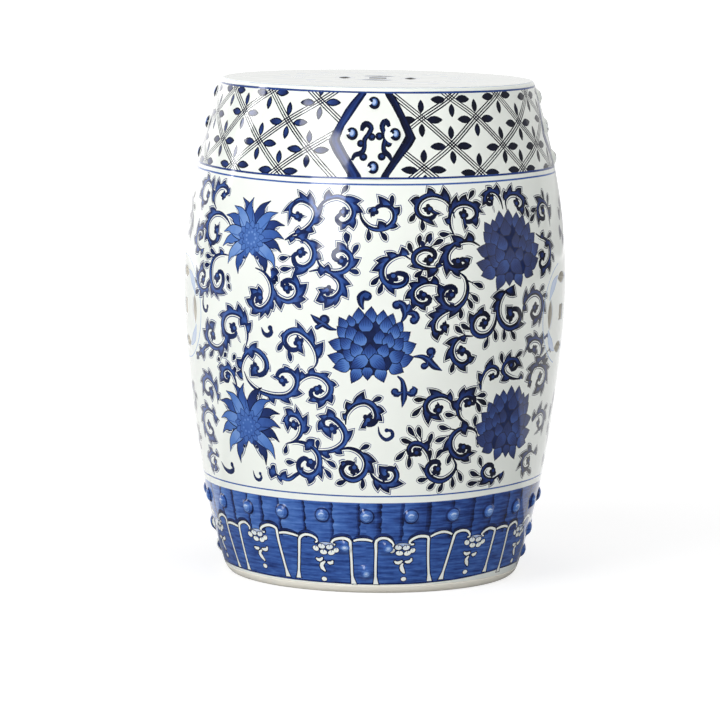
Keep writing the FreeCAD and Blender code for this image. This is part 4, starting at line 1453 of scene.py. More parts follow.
# the wall, painted in three zones: how many mm of the flat are a degree, and the zone's borders
zones = {
    "lower": {"k": lower["k"], "from": -180.0, "to": 180.0, "low": 8.0, "high": 90.2,
              "edges": (0.4, 0.4), "grid": 6.5, "strokes": lowerStrokes},
    "field": {"k": field["k"], "from": field["from"], "to": field["to"], "low": 90.2, "high": 374.2,
              "edges": (0.4, 0.4), "grid": 7.0, "strokes": fieldStrokes},
    "upper": {"k": upper["k"], "from": field["from"], "to": field["to"], "low": 374.2, "high": 443.0,
              "edges": (0.4, 0.0), "grid": 6.5, "strokes": upperStrokes},
}


def zoneBorder(zone):
    # level edges cut every few degrees, upright edges about as often
    around = round((zone["to"] - zone["from"]) / barrel["around"])
    up = max(1, round((zone["high"] - zone["low"]) / 7.0))
    x = np.linspace(zone["from"], zone["to"], around + 1) * zone["k"]
    z = np.linspace(zone["low"], zone["high"], up + 1)
    bottom = np.c_[x, 0 * x + zone["low"]]
    right = np.c_[0 * z + x[-1], z]
    top = np.c_[x, 0 * x + zone["high"]][::-1]
    left = np.c_[0 * z + x[0], z][::-1]
    return np.vstack([bottom[:-1], right[:-1], top[:-1], left[:-1]])


# where the parts lie on the flat map named OFBake: left, bottom, width, height
chartPlaces = {
    "wall": (0.012, 0.002, 0.976, 0.414),
    "halfUp": 0.42,      # from one half turn of the wall to the next
    "openings": (0.01, 0.86, 0.05, 0.04),
    "inside": (0.01, 0.915, 0.98, 0.08),
    "rims": 0.905,
    "speck": 0.002,      # size of the triangles of a rim there
}


def wallChart(angle, z, faces):
    # half turns one above the other, the face deciding which half it is on
    x0, y0, wide, high = chartPlaces["wall"]
    middle = angle[faces].mean(1)
    half = np.floor((middle - field["from"]) / 180.0)
    u = x0 + wide * (angle[faces] - field["from"] - 180.0 * half[:, None]) / 180.0
    v = chartPlaces["halfUp"] * (half[:, None] % 2) + y0 + high * (z[faces] - barrel["foot"]) / 435.0
    return np.stack([u, v], -1)


def speckChart(count, place, size=chartPlaces["speck"]):
    return np.full((count, 3, 2), place) + np.array([[0, 0], [size, 0], [0, size]])


def cutZone(zone):
    k = zone["k"]
    x0 = zone["from"] * k
    x1 = zone["to"] * k
    ready = readyStrokes(zone["strokes"], x0, x1, zone["low"], zone["high"], zone["edges"])
    grid = gridPoints(x0, x1, zone["low"], zone["high"], zone["grid"])
    shapes = [s["points"] for s in ready]
    flat, faces, top = cutSheet([zoneBorder(zone)], shapes, grid)
    hole = np.array([t >= 0 and ready[t]["hole"] for t in top])
    faces = faces[~hole]
    return flat, faces, cornerPaint(flat, faces, top[~hole], ready)


def wallPlace(k, turn):
    def place(points, depth, inward, tilt):
        angle = points[:, 0] / k + turn
        z = points[:, 1]
        t = np.radians(angle)
        along = np.stack([np.cos(t), np.sin(t), 0 * t], -1)
        into = along * inward[:, :1] + np.array([0, 0, 1.0]) * inward[:, 1:]
        c = math.cos(math.radians(tilt))
        s = math.sin(math.radians(tilt))
        return wallPoint(angle, z, depth), wallNormal(angle, z) * c + into * s
    return place


def buildWall(material):
    skin = newSkin()
    thick = barrel["wall"]
    rims = {"low": [], "high": []}
    inner = []
    for name, zone in zones.items():
        flat, faces, paint = cutZone(zone)
        k = zone["k"]
        period = zone["to"] - zone["from"]
        loops = openLoops(faces)
        loops.sort(key=len)
        for copy in range(round(360 / period)):
            turn = copy * period
            angle = flat[:, 0] / k + turn
            z = flat[:, 1]
            addSheet(skin, wallPoint(angle, z), wallNormal(angle, z), faces, paint,
                     wallChart(angle, z, faces))
            for number, loop in enumerate(loops[:-1]):
                x0, y0, wide, high = chartPlaces["openings"]
                box = (x0 + 1.08 * wide * (number + 9 * copy), y0, wide, high)
                rings = edgeRings + [(0.9, thick - 0.5, 90), (0.6, thick, 180)]
                last = ringDown(skin, loop, flat, wallPlace(k, turn), rings, wallLipPaintedShade, box)
                last = np.c_[(last[:, 0] / k + turn + 180) % 360 - 180, last[:, 1]]
                inner.append(last[::-1])
            outer = np.array(loops[-1])
            for key, limit in (("low", barrel["foot"]), ("high", barrel["seatFrom"])):
                on = outer[abs(z[outer] - limit) < 1e-3]
                rims[key].append(angle[on])
        print("zone", name, len(faces), "faces each")

    # inner face, with the openings coming through
    k = field["k"]
    low = barrel["foot"]
    high = barrel["seatFrom"]
    border = zoneBorder({"k": k, "from": -180.0, "to": 180.0, "low": low, "high": high})
    shapes = [leftTurning(p * [k, 1]) for p in inner]
    grid = gridPoints(-180 * k, 180 * k, low, high, 14.0)
    flat, faces, top = cutSheet([border], shapes, grid, 3.0)
    faces = faces[top < 0]
    angle = flat[:, 0] / k
    z = flat[:, 1]
    x0, y0, wide, high = chartPlaces["inside"]
    chart = np.stack([x0 + wide * (angle[faces] + 180) / 360, y0 + high * z[faces] / barrel["top"]], -1)
    addSheet(skin, wallPoint(angle, z, thick), -wallNormal(angle, z), faces[:, ::-1],
             (0, 0, barrel["insideBare"]), chart[:, ::-1])

    # level rims at the foot and under the seat
    for key, limit, way in (("low", barrel["foot"], -1), ("high", barrel["seatFrom"], 1)):
        angles = np.concatenate(rims[key]) % 360
        angles = np.unique(np.round(angles, 5)) % 360
        insideAngles = np.arange(0, 360, barrel["around"])
        faces = stitch(angles / 360, insideAngles / 360)
        points = np.vstack([wallPoint(angles, limit), wallPoint(insideAngles, limit, thick)])
        if way < 0:
            faces = faces[:, ::-1]
        chart = speckChart(len(faces), chartPlaces["rims"])
        level = np.tile([0, 0, float(way)], (len(points), 1))
        addSheet(skin, points, level, faces, (0, 0, barrel["rimBare"]), chart)
    return skinPiece("painted_wall", skin, material, ["barrel_wall"])


# the seat
seat = {
    "underside": barrel["seatFrom"],
    "sideTo": 450.2,     # the side is painted as a sheet up to here, and in rings above
    "k": upper["k"],
    "round": 4.0,        # edge round
    "roundFrom": 139.55,  # radius of the flat top
    "grid": 11.0,
    "gridUnder": 16.0,
    # places on the flat map: left, bottom, and width and height or a size
    "chartSide": (0.01, 0.8, 0.98, 0.01),
    "chartEdge": (0.01, 0.9, 0.97, 0.09),
    "chartSeam": 0.895,
    "chartTop": (0.0, 0.0, 0.78),
    "chartUnder": (0.8, 0.8, 0.06),
    "chartOpenings": (0.80, 0.05, 0.18, 0.12),
}


def seatPlace(points, depth, inward, tilt):
    c = math.cos(math.radians(tilt))
    s = math.sin(math.radians(tilt))
    normal = np.c_[inward * s, np.full(len(points), c)]
    return np.c_[points, np.full(len(points), barrel["top"] - depth)], normal


def addLevel(skin, flat, faces, height, way, paint, chartBox):
    # level sheet that faces up (way 1) or down (way -1)
    x0, y0, size = chartBox
    reach = 150.0
    chart = np.array([x0, y0]) + size * (flat[faces] / (2 * reach) + 0.5)
    points = np.c_[flat, np.full(len(flat), height)]
    addSheet(skin, points, np.tile([0, 0, float(way)], (len(flat), 1)), faces, paint, chart)


def gridWithin(radius, step, clear):
    points = gridPoints(-radius, radius, -radius, radius, step)
    return [p for p in points if math.hypot(*p) < radius - clear]


def seatSide(skin):
    # painted sheet up the side, in two half turns; gives the angles along its lower and upper edge
    k = seat["k"]
    low = seat["underside"]
    high = seat["sideTo"]
    x0, y0, wide, rise = seat["chartSide"]
    flat, faces, paint = cutZone({"k": k, "from": field["from"], "to": field["to"], "low": low,
                                  "high": high, "edges": (0.0, 0.0), "grid": 4.0,
                                  "strokes": seatSideStrokes})
    outer = np.array(openLoops(faces)[0])
    found = {low: [], high: []}
    for copy in range(2):
        angle = flat[:, 0] / k + 180.0 * copy
        z = flat[:, 1]
        share = (angle[faces] - field["from"]) / 360
        chart = np.stack([x0 + wide * share, y0 + rise * (z[faces] - low)], -1)
        addSheet(skin, wallPoint(angle, z), wallNormal(angle, z), faces, paint, chart)
        for height in found:
            found[height].append(angle[outer[abs(z[outer] - height) < 1e-3]])
    return [np.unique(np.round(np.concatenate(found[height]) % 360, 5) % 360) for height in (low, high)]


def seatEdge(skin, around):
    # rings over the edge, each with its own paint up to the next; gives the highest ring
    a = np.radians(around)
    waver = seatRings["waver"]
    rows = [wallPoint(around, seat["sideTo"])]
    normals = [wallNormal(around, seat["sideTo"])]
    for height, _ in seatRings["onSide"]:
        wavy = height + waver * np.sin(a * 5 + height)
        rows.append(wallPoint(around, wavy))
        normals.append(wallNormal(around, wavy))
    for degrees, _ in seatRings["onRound"]:
        free = 0 if degrees >= 89 else waver * 8
        t = np.radians(degrees + free * np.sin(a * 4 + degrees))
        r = seat["roundFrom"] + seat["round"] * np.cos(t)
        height = barrel["top"] - seat["round"] + seat["round"] * np.sin(t)
        rows.append(np.stack([r * np.sin(a), -r * np.cos(a), height], -1))
        normals.append(np.stack([np.cos(t) * np.sin(a), -np.cos(t) * np.cos(a), np.sin(t)], -1))
    tones = [tone for _, tone in seatRings["onSide"] + seatRings["onRound"]]
    faces = rowFaces(len(around), len(rows), turned=True)
    x0, y0, wide, high = seat["chartEdge"]
    chart = np.array([x0, y0]) + np.array([wide, high]) * rowPlaces(len(around), len(rows))[faces]
    addSheet(skin, np.vstack(rows), np.vstack(normals), faces, rowPaint(tones, len(around)), chart)
    return rows[-1][:, :2]


def buildSeat(material):
    skin = newSkin()
    around = np.arange(0, 360, barrel["around"])
    bottom, top = seatSide(skin)
    rim = seatEdge(skin, around)

    # seam between the side sheet and the first ring
    faces = stitch(top / 360, around / 360)
    both = np.concatenate([top, around])
    height = seat["sideTo"]
    chart = np.full((len(faces), 3, 2), seat["chartSeam"])
    addSheet(skin, wallPoint(both, height), wallNormal(both, height), faces, (0, 0, 0), chart)

    # flat top with its openings, and the underside that they come out of
    strokes = list(seatTopStrokes)
    for shape in seatOpenings(coins["ease"]):
        put(strokes, field["holes"], shape, 0.0, hole=True)
    ready = sorted(strokes, key=lambda s: s["layer"])
    grid = gridWithin(seat["roundFrom"], seat["grid"], 5)
    flat, faces, topMost = cutSheet([rim], [s["points"] for s in ready], grid)
    hole = np.array([t >= 0 and ready[t]["hole"] for t in topMost])
    faces = faces[~hole]
    paint = cornerPaint(flat, faces, topMost[~hole], ready)
    addLevel(skin, flat, faces, barrel["top"], 1, paint, seat["chartTop"])
    loops = sorted(openLoops(faces), key=len)
    thick = barrel["top"] - seat["underside"]
    x0, y0, wide, high = seat["chartOpenings"]
    rings = edgeRings + [(0.9, thick - 0.6, 90), (0.5, thick, 180)]
    under = []
    for number, loop in enumerate(loops[:-1]):
        box = (x0, y0 + 0.14 * number, wide, high)
        under.append(leftTurning(ringDown(skin, loop, flat, seatPlace, rings, seatLipPaintedShade, box)))
    border = wallPoint(bottom, seat["underside"])[:, :2]
    grid = gridWithin(math.hypot(*border[0]), seat["gridUnder"], 8)
    flat, faces, topMost = cutSheet([border], under, grid, 3.0)
    faces = faces[topMost < 0][:, ::-1]
    addLevel(skin, flat, faces, seat["underside"], -1, (0, 0, barrel["insideBare"]), seat["chartUnder"])
    return skinPiece("painted_seat", skin, material, ["seat_slab"])


# the foot ring
foot = {
    # outline of the ring: radius and height
    "section": [(136.0, 8.0), (135.6, 6.6), (134.9, 5.2), (133.9, 3.6), (132.5, 2.0), (131.0, 0.8),
                (129.6, 0.15), (128.6, 0.0), (122.0, 0.0), (121.3, 0.3), (121.0, 1.2), (121.0, 6.8),
                (121.3, 7.7), (122.0, 8.0)],
    "uneven": 0.25,
    # waves of the unevenness: how many round, turn for each row, start and share
    "waves": [(3, 1.0, 0.0, 0.5), (7, 0.0, 2.3, 0.3), (17, 0.7, 0.0, 0.2)],
    "freeFrom": 0.5,     # heights between which the thumbed edge may wander
    "freeTo": 7.5,
    "step": 3.0,
}


def buildFoot(material):
    around = np.arange(0, 360, foot["step"])
    a = np.radians(around)
    skin = newSkin()
    section = np.array(foot["section"])
    rows = []
    for number, (r, z) in enumerate(section):
        # thumbed edge: a slow unevenness that keeps clear of the floor and of the wall
        free = 1.0 if foot["freeFrom"] < z < foot["freeTo"] else 0.0
        wave = sum(np.sin(times * a + number * turn + start) * share
                   for times, turn, start, share in foot["waves"])
        radius = r + foot["uneven"] * free * wave
        rows.append(np.stack([radius * np.sin(a), -radius * np.cos(a), z + 0 * a], -1))
    faces = rowFaces(len(around), len(section), closed=True)
    way = np.roll(section, -1, axis=0) - np.roll(section, 1, axis=0)
    out = unit(np.c_[-way[:, 1], way[:, 0]])
    normals = np.vstack([np.stack([o[0] * np.sin(a), -o[0] * np.cos(a), o[1] + 0 * a], -1) for o in out])
    chart = 0.01 + 0.96 * rowPlaces(len(around), len(section))[faces]
    addSheet(skin, np.vstack(rows), normals, faces, (0, 0, 1.0), chart)
    return skinPiece("clay_foot", skin, material, ["foot_ring"])


# the pressed bosses
boss = {
    "radius": 7.0,
    "rise": 3.4,
    "skirt": 1.14,       # share of the radius where the glaze runs out onto the wall
    "swell": (2.6, 1.35),  # how full the dome is at its crown and at its foot
    "sunk": 0.25,
    "lean": 0.5,         # most that the crown may sit off the middle
    "around": 30,
    "grid": 1.15,
}


def domeLift(out):
    # height over the wall and its slope, with the share of the radius: a low dome with a soft foot
    crown, skirt = boss["swell"]
    r = np.clip(out / boss["radius"], 0, boss["skirt"])
    flat = np.clip(r / boss["skirt"], 0, 1)
    lift = boss["rise"] * (1 - flat ** crown) ** skirt
    near = 1e-3
    beyond = np.clip((r + near) / boss["skirt"], 0, 1)
    slope = (boss["rise"] * (1 - beyond ** crown) ** skirt - lift) / (near * boss["radius"])
    return lift, slope


def strokesNear(strokes, reach, flatten):
    # the strokes of the wall that cross a boss, laid out on its own flat
    near = []
    limits = [(0, -reach - 1, 1), (0, reach + 1, -1), (1, -reach - 1, 1), (1, reach + 1, -1)]
    for stroke in sorted(strokes, key=lambda s: s["layer"]):
        local = flatten(stroke["points"])
        if (local.min(0) > reach).any() or (local.max(0) < -reach).any():
            continue
        shape = clipShape(local, limits)
        if shape is None:
            continue
        copy = dict(stroke, points=leftTurning(shape))
        if isinstance(stroke["tone"], tuple):
            start, end, first, last = stroke["tone"]
            start, end = flatten(np.array([start, end]))
            copy["tone"] = (start, end, first, last)
        near.append(copy)
    return near


def buildBoss(name, node, angle, z, material, strokes, k, own, rng):
    # dome pressed on the wall, painted over with the strokes of the wall around it
    radius, slope = [float(v) for v in radiusAt(z)]
    size = math.sqrt(1 + slope ** 2)
    reach = boss["radius"] * boss["skirt"]
    t = np.linspace(0, 2 * math.pi, boss["around"], endpoint=False)
    border = reach * np.c_[np.cos(t), np.sin(t)]
    perDegree = math.radians(1) * radius
    flatAngle = angle - 360 * (angle > 180)

    def flatten(points):
        return np.c_[(points[:, 0] / k - flatAngle) * perDegree, (points[:, 1] - z) * size]

    near = strokesNear(strokes, reach, flatten) + sorted(own, key=lambda s: s["layer"])
    grid = gridWithin(reach, boss["grid"], 0.7)
    flat, faces, top = cutSheet([border], [s["points"] for s in near], grid, 0.8)
    paint = cornerPaint(flat, faces, top, near)
    # pressed by hand: not quite round, the crown a little off the middle
    most = boss["lean"]
    lean = np.array([rng.uniform(-most, most), rng.uniform(-most, most)])
    way = np.arctan2(flat[:, 1], flat[:, 0])
    out = np.hypot(*flat.T)
    rough = 1 + 0.02 * np.sin(2 * way + 9 * lean[0]) + 0.012 * np.sin(3 * way + 7 * lean[1])
    lift, steep = domeLift(out * np.where(out > reach - 0.1, 1, rough))
    xy = flat + (lift / boss["rise"])[:, None] * lean
    a = angle + xy[:, 0] / perDegree
    h = z + xy[:, 1] / size
    outward = wallNormal(a, h)
    points = wallPoint(a, h) + outward * (lift - boss["sunk"])[:, None]
    turned = np.radians(a)
    along = np.stack([np.cos(turned), np.sin(turned), 0 * turned], -1)
    up = np.cross(outward, along)
    radial = (along * flat[:, :1] + up * flat[:, 1:]) / np.maximum(out, 1e-6)[:, None]
    normals = outward - radial * steep[:, None]
    normals /= np.linalg.norm(normals, axis=1)[:, None]
    skin = newSkin()
    addSheet(skin, points, normals, faces, paint, 0.5 + flat[faces] / (2.4 * reach))
    # the back, a flat fan against the wall
    loop = openLoops(faces)[0]
    ring = points[loop]
    i = np.arange(len(loop))
    fan = np.c_[(i + 1) % len(loop), i, 0 * i + len(loop)]
    inward = np.tile(-outward.mean(0), (len(loop) + 1, 1))
    back = np.vstack([ring, ring.mean(0)[None]])
    addSheet(skin, back, inward, fan, (0.6, 0, 0), speckChart(len(fan), 0.02, 0.004))
    return skinPiece(name, skin, material, [node], merge=0.01)


# glaze, pigment and clay
def newGroup(name, inputs, outputs):
    group = bpy.data.node_groups.new(name, "ShaderNodeTree")
    for label, kind, value in inputs:
        socket = group.interface.new_socket(label, in_out="INPUT", socket_type="NodeSocket" + kind)
        socket.default_value = value
    for label, kind in outputs:
        group.interface.new_socket(label, in_out="OUTPUT", socket_type="NodeSocket" + kind)
    nodes = group.nodes
    return group, nodes.new("NodeGroupInput"), nodes.new("NodeGroupOutput")


def addNode(tree, kind, inputs=None, **settings):
    node = tree.nodes.new(kind)
    for key, value in settings.items():
        setattr(node, key, value)
    for key, value in (inputs or {}).items():
        socket = node.inputs[key]
        if hasattr(value, "is_output"):
            tree.links.new(value, socket)
        else:
            socket.default_value = value
    return node


def sums(tree, operation, a, b=0.0, c=0.0, clamp=False):
    made = addNode(tree, "ShaderNodeMath", {0: a, 1: b, 2: c}, operation=operation, use_clamp=clamp)
    return made.outputs[0]


def noise(tree, place, scale, detail, rough):
    sockets = {"Vector": place, "Scale": scale, "Detail": detail, "Roughness": rough}
    return addNode(tree, "ShaderNodeTexNoise", sockets).outputs[0]


def mapped(tree, value, low, high, toLow, toHigh):
    sockets = {"Value": value, 1: low, 2: high, 3: toLow, 4: toHigh}
    return addNode(tree, "ShaderNodeMapRange", sockets).outputs[0]


def linear(r, g, b):
    # colour picked on a screen, turned into the light that it stands for
    light = [((v / 255 + 0.055) / 1.055) ** 2.4 if v > 10 else v / 255 / 12.92 for v in (r, g, b)]
    return tuple(light) + (1.0,)


pigment = {
    # how much cobalt is laid, and the colour it fires to
    "steps": [(0.0, (238, 242, 236)), (0.15, (190, 206, 232)), (0.3, (130, 164, 216)),
              (0.45, (84, 124, 192)), (0.6, (56, 92, 164)), (0.75, (32, 56, 118)),
              (0.9, (13, 25, 64)), (1.0, (5, 10, 30))],
    "clay": (246, 242, 230),
    "blot": 180.0,       # scales of the fine and the broad unevenness
    "cloud": 38.0,
    "streaksRound": 7.0,   # streaks are long round the barrel and fine up it
    "streaksUp": 380.0,
    "full": 0.25,        # pigment from which the unevenness is at its full strength
}

glaze = {
    "roughness": 0.075,
    "ior": 1.36,
    "wave": 26.0,        # scale of the ripple
    "deep": 0.002,
    "wallRipple": 0.3,
    "clayRipple": 0.1,
}


def paintGroup():
    # colour of the painted glaze from the pigment laid on the mesh, with its brush grain
    group, given, out = newGroup("cobaltPaint", [("Uneven", "Float", 0.1), ("Streak", "Float", 0.6)],
                                 [("Color", "Color"), ("Pigment", "Float"), ("Bare", "Float")])
    mark = addNode(group, "ShaderNodeAttribute", attribute_name="paint")
    parts = addNode(group, "ShaderNodeSeparateColor", {0: mark.outputs["Color"]})
    place = addNode(group, "ShaderNodeTexCoord").outputs["Object"]
    blot = noise(group, place, pigment["blot"], 3.0, 0.6)
    broad = noise(group, place, pigment["cloud"], 2.0, 0.5)
    grain = sums(group, "ADD", sums(group, "MULTIPLY", sums(group, "SUBTRACT", blot, 0.5), 1.2),
                 sums(group, "SUBTRACT", broad, 0.5))
    # brush streaks run round the barrel
    xyz = addNode(group, "ShaderNodeSeparateXYZ", {0: place})
    angle = sums(group, "ARCTAN2", xyz.outputs[0], xyz.outputs[1])
    flat = addNode(group, "ShaderNodeCombineXYZ", {
        0: sums(group, "MULTIPLY", angle, pigment["streaksRound"]),
        1: sums(group, "MULTIPLY", xyz.outputs[2], pigment["streaksUp"])})
    streak = noise(group, flat.outputs[0], 1.0, 3.0, 0.55)
    brushed = sums(group, "MULTIPLY", sums(group, "SUBTRACT", streak, 0.5),
                   sums(group, "MULTIPLY", parts.outputs[1], given.outputs["Streak"]))
    laid = mapped(group, parts.outputs[0], 0.0, pigment["full"], 0.0, 1.0)
    uneven = sums(group, "MULTIPLY", sums(group, "MULTIPLY", grain, given.outputs["Uneven"]), laid)
    tone = sums(group, "ADD", sums(group, "ADD", parts.outputs[0], uneven), brushed, clamp=True)
    ramp = addNode(group, "ShaderNodeValToRGB", {0: tone})
    steps = ramp.color_ramp.elements
    while len(steps) < len(pigment["steps"]):
        steps.new(0.5)
    for step, (where, colour) in zip(steps, pigment["steps"]):
        step.position = where
        step.color = linear(*colour)
    mix = addNode(group, "ShaderNodeMix", {0: parts.outputs[2], 6: ramp.outputs[0],
                                           7: linear(*pigment["clay"])}, data_type="RGBA")
    group.links.new(mix.outputs[2], out.inputs["Color"])
    group.links.new(tone, out.inputs["Pigment"])
    group.links.new(parts.outputs[2], out.inputs["Bare"])
    return group


def glazeMaterial(name, group, ripple):
    made = bpy.data.materials.new(name)
    made.use_nodes = True
    tree = made.node_tree
    shader = tree.nodes["Principled BSDF"]
    colour = addNode(tree, "ShaderNodeGroup", node_tree=group)
    tree.links.new(colour.outputs["Color"], shader.inputs["Base Color"])
    place = addNode(tree, "ShaderNodeTexCoord").outputs["Object"]
    wave = noise(tree, place, glaze["wave"], 1.5, 0.45)
    bump = addNode(tree, "ShaderNodeBump", {"Strength": ripple, "Distance": glaze["deep"], "Height": wave})
    tree.links.new(bump.outputs[0], shader.inputs["Normal"])
    shader.inputs["Roughness"].default_value = glaze["roughness"]
    shader.inputs["IOR"].default_value = glaze["ior"]
    return made


paint = paintGroup()
wallGlaze = glazeMaterial("painted glaze", paint, glaze["wallRipple"])
clay = glazeMaterial("bare clay", paint, glaze["clayRipple"])
print("glaze and clay")


# the painting of the bosses, each on its own flat
bossMarks = {
    # layer, middle, radius, flatness, points and tone of each wash
    # ring bosses: a dark pool round the foot, and lighter discs towards the upper left, partly thinner
    # wash over the crown and partly painted highlight
    "ring": [(50, (0, 0), 7.3, 1.0, 18, 0.84), (51, (0.2, 0.3), 5.9, 0.96, 16, 0.58),
             (52, (-0.3, 0.6), 4.2, 0.9, 14, 0.46), (53, (-0.5, 0.8), 2.4, 0.8, 12, 0.36)],
    # light streaks over the ring bosses: painted highlights
    "ringPaintedHighlights": [([(-3.0, 1.0), (-0.6, 2.6), (2.4, 1.8)], [0.4, 1.5, 1.2, 0.3], 0.18),
                  ([(-2.4, -2.6), (0.4, -3.4), (3.0, -2.2)], [0.3, 0.9, 0.8, 0.2], 0.34)],
    # foot bosses: blue wash with a lighter middle set a little up and left, a painted highlight
    "band": [(5, (0, -0.2), 4.4, 0.9, 14, 0.56), (6, (0, -0.3), 2.9, 0.9, 12, 0.36),
             (7, (-0.3, 0.2), 1.5, 0.8, 10, 0.2)],
    # panel bosses: dark blue spot whose lighter middle is a painted highlight
    "panel": [(50, (1.6, 0), 5.2, 1.12, 18, 0.97), (51, (1.8, 0.2), 2.6, 1.3, 12, 0.5),
              (52, (1.4, 0.2), 1.8, 1.4, 10, 0.2)],
    "panelMiddle": (1.6, 0),
}


def washes(rows, wash=1.0):
    own = []
    for layer, middle, radius, flat, count, tone in rows:
        put(own, layer, disc(middle, radius, flat, count=count), tone, wash=wash)
    return own


def ringBossWashAndHighlight():
    # the wash runs off the crown and pools dark round the top of the foot; the lighter crown towards the
    # upper left is partly that thin wash and partly painted highlight, and the light streaks are painted
    # highlights
    own = washes(bossMarks["ring"])
    own[0]["wash"] = 0.6
    for line, widths, tone in bossMarks["ringPaintedHighlights"]:
        put(own, 54, ribbon(evenLine(line, 1.0), widths), tone)
    return own


def panelBossWithPaintedReflection(gap):
    # a dark blue spot with a lighter middle as painted highlight, cut into on one side by a painted white
    # reflection, with a small dark spot beside it
    own = washes(bossMarks["panel"], 0.0)
    way = towards(math.radians(gap))
    cut = np.array(bossMarks["panelMiddle"]) + way * 4.6
    put(own, 53, disc(cut, 2.6, 0.8, gap, count=12), 0.02)
    put(own, 54, disc(cut - way * 2.0 + [0.3, 1.4], 1.3, count=8), 0.95)
    return own


# where the bosses are pressed on: degrees from the middle of a side, height, and for those of
# the panels the side where a painted white reflection cuts into the blue spot
pressed = {
    "sides": [("front", 0.0), ("right", 90.0), ("back", 180.0), ("left", 270.0)],
    "ringCount": 24,
    "ringHeight": 73.0,
    "panel": [("top", 0.0, 441.0, 185.0), ("left", -7.0, 414.0, 170.0), ("right", 7.0, 414.0, 190.0),
              ("bottom", 0.0, 385.5, 200.0)],
    "band": [("left", -7.5, 44.0), ("right", 7.5, 44.0), ("bottom", 0.0, 20.5)],
}


def blueBoss(node, angle, height, own, rng):
    buildBoss("dome_" + node, node, angle, height, wallGlaze, lowerStrokes,
              lower["k"], own, rng)


buildWall(wallGlaze)
buildSeat(wallGlaze)
buildFoot(clay)
rng = random.Random(3)
for number in range(pressed["ringCount"]):
    turn = 360.0 / pressed["ringCount"] * number
    blueBoss("ring_boss_%02d" % (number + 1), turn, pressed["ringHeight"], ringBossWashAndHighlight(), rng)
for side, angle in pressed["sides"]:
    for word, turn, height, gap in pressed["panel"]:
        node = "%s_panel_boss_%s" % (side, word)
        buildBoss("dome_" + node, node, angle + turn, height, wallGlaze, [], upper["k"],
                  panelBossWithPaintedReflection(gap), rng)
    # foot bosses, blue with a painted highlight
    for word, turn, height in pressed["band"]:
        blueBoss("%s_foot_boss_%s" % (side, word), angle + turn, height, washes(bossMarks["band"]), rng)
print("bosses pressed on")

# floor, lamps and camera
view = {
    "distance": 3.967,
    "height": 0.683,
    "azimuth": 1.75,
    "focal": 4332.0 / 720 * 36,
    "pitch": 7.014,
    "shiftX": -13.9 / 720,
    "roll": -0.8,
}


studio = {
    "floorHalf": 24.0,   # m
    "floorGrey": (0.42, 0.42, 0.42, 1),   # as the stool meets it, and as the camera does
    "floorSeen": (0.45, 0.45, 0.45, 1),
    "floorNear": 0.70,   # glow of the floor for the camera beside the stool, and far from it
    "floorFar": 1.0,
    "nearTo": 0.4,       # m from the axis where the glow starts to grow, and where it is full
    "farFrom": 2.2,
    "worldLight": 0.42,
    "white": (1, 1, 1, 1),
}


def shownToCamera(tree, plain, shown, output):
    # one shader for the light on the stool, the other for what the camera sees itself
    camera = addNode(tree, "ShaderNodeLightPath").outputs["Is Camera Ray"]
    both = addNode(tree, "ShaderNodeMixShader", {0: camera, 1: plain.outputs[0], 2: shown.outputs[0]})
    tree.links.new(both.outputs[0], tree.nodes[output].inputs[0])


def buildFloor():
    # keeps the shadow, and glows a little for the camera so that it stays pale
    half = studio["floorHalf"]
    mesh = bpy.data.meshes.new("studio_floor")
    corners = [(-half, -half, 0), (half, -half, 0), (half, half, 0), (-half, half, 0)]
    mesh.from_pydata(corners, [], [(0, 1, 2, 3)])
    floor = bpy.data.objects.new("studio_floor", mesh)
    bpy.context.scene.collection.objects.link(floor)
    look = bpy.data.materials.new("studio floor")
    look.use_nodes = True
    tree = look.node_tree
    plain = tree.nodes["Principled BSDF"]
    plain.inputs["Base Color"].default_value = studio["floorGrey"]
    plain.inputs["Roughness"].default_value = 0.9
    plain.inputs["Specular IOR Level"].default_value = 0.0
    where = addNode(tree, "ShaderNodeNewGeometry").outputs["Position"]
    far = addNode(tree, "ShaderNodeVectorMath", {0: where}, operation="LENGTH").outputs["Value"]
    glow = mapped(tree, far, studio["nearTo"], studio["farFrom"], studio["floorNear"], studio["floorFar"])
    soft = addNode(tree, "ShaderNodeBsdfDiffuse", {"Color": studio["floorSeen"]})
    light = addNode(tree, "ShaderNodeEmission", {"Color": studio["white"], "Strength": glow})
    pale = addNode(tree, "ShaderNodeAddShader", {0: soft.outputs[0], 1: light.outputs[0]})
    shownToCamera(tree, plain, pale, "Material Output")
    mesh.materials.append(look)


def buildWorld():
    world = bpy.data.worlds.new("studio")
    bpy.context.scene.world = world
    world.use_nodes = True
    tree = world.node_tree
    back = tree.nodes["Background"]
    back.inputs["Color"].default_value = studio["white"]
    back.inputs["Strength"].default_value = studio["worldLight"]
    white = addNode(tree, "ShaderNodeBackground", {"Color": studio["white"], "Strength": 1.0})
    shownToCamera(tree, back, white, "World Output")


def softbox(name, azimuth, distance, height, wide, high, power, card=False, aim=0.25, roll=0.0):
    # a card shows in the glaze and gives no light of its own
    lamp = bpy.data.lights.new(name, "AREA")
    lamp.shape = "RECTANGLE"
    lamp.size = wide
    lamp.size_y = high
    lamp.energy = power
    holder = bpy.data.objects.new(name, lamp)
    t = math.radians(azimuth)
    holder.location = (distance * math.sin(t), -distance * math.cos(t), height)
    way = Vector((0, 0, aim)) - holder.location
    holder.rotation_euler = (Quaternion(way, math.radians(roll)) @ way.to_track_quat("-Z", "Y")).to_euler()
    holder.visible_diffuse = not card
    holder.visible_glossy = card
    bpy.context.scene.collection.objects.link(holder)
    return holder


buildFloor()
buildWorld()
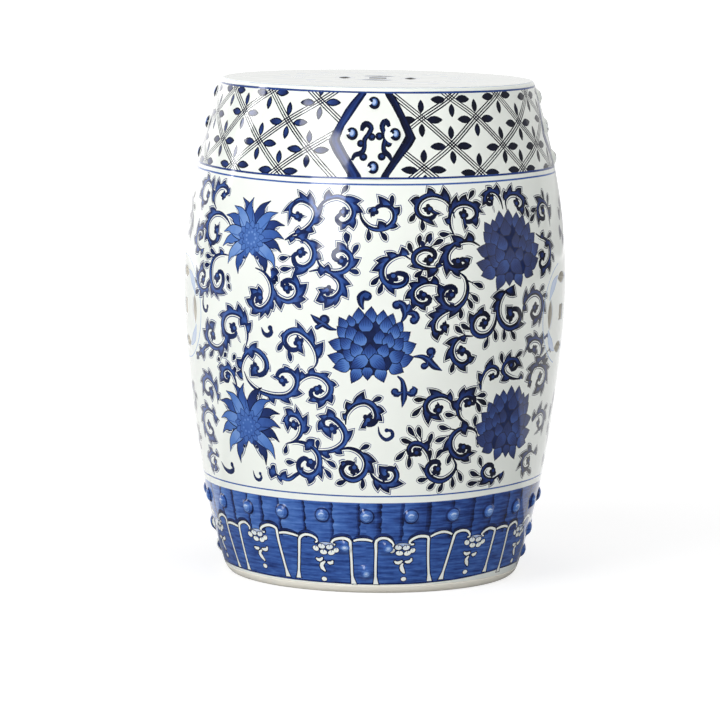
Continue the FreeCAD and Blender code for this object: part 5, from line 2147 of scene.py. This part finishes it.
# azimuth, distance, height, width, height of the face, power
lamps = {
    "key": (-42, 2.6, 1.2, 1.6, 1.8, 39),
    "fill": (48, 3.2, 1.0, 2.0, 2.0, 28),
    "overhead": (0, 0.01, 2.6, 2.2, 2.2, 12),
    "low front": (-28, 3.0, 0.5, 2.4, 0.8, 19),
}
for name, numbers in lamps.items():
    softbox(name, *numbers)
# what the glaze mirrors: a window broken into panes, brightest in the middle, and the room
cards = [
    # azimuth, height of the middle, width, height, brightness, roll
    (-25.0, 0.19, 0.36, 0.12, 6.0, 0.0),
    (-25.0, 0.62, 0.64, 0.38, 11.0, 0.0),
    (-28.0, 1.05, 1.05, 0.38, 13.0, 0.0),
    (-32.5, 1.42, 1.45, 0.22, 13.0, 0.0),
    (-41.0, 1.60, 1.05, 0.20, 12.0, 0.0),
    (-145.0, 1.10, 2.40, 2.20, 0.9, 0.0),
    (-97.0, 1.12, 0.28, 0.95, 12.0, 48.0),
]


def card(name, azimuth, distance, height, wide, high, bright, roll=0.0):
    power = math.pi * wide * high * bright
    return softbox(name, azimuth, distance, height, wide, high, power, card=True, roll=roll)


for number, (azimuth, height, wide, high, bright, roll) in enumerate(cards):
    card("card %d" % number, azimuth, 2.6, height, wide, high, bright, roll)
card("backdrop", 180, 3.0, 1.5, 8.0, 3.6, 0.5)
card("floor glow", 180, 2.0, 0.003, 7.0, 3.8, 0.9).rotation_euler = (math.pi, 0, 0)

print("studio lit")

camera = bpy.data.cameras.new("camera")
camera.sensor_width = 36
camera.lens = view["focal"]
camera.shift_x = view["shiftX"]
camera.clip_end = 60
eye = bpy.data.objects.new("camera", camera)
bpy.context.scene.collection.objects.link(eye)
bpy.context.scene.camera = eye
t = math.radians(view["azimuth"])
eye.location = (view["distance"] * math.sin(t), -view["distance"] * math.cos(t), view["height"])
pitch = math.radians(view["pitch"])
way = Vector((-math.sin(t) * math.cos(pitch), math.cos(t) * math.cos(pitch), -math.sin(pitch)))
aim = way.to_track_quat("-Z", "Y")
eye.rotation_euler = (Quaternion(way, math.radians(view["roll"])) @ aim).to_euler()

bpy.context.scene.view_settings.view_transform = "Standard"
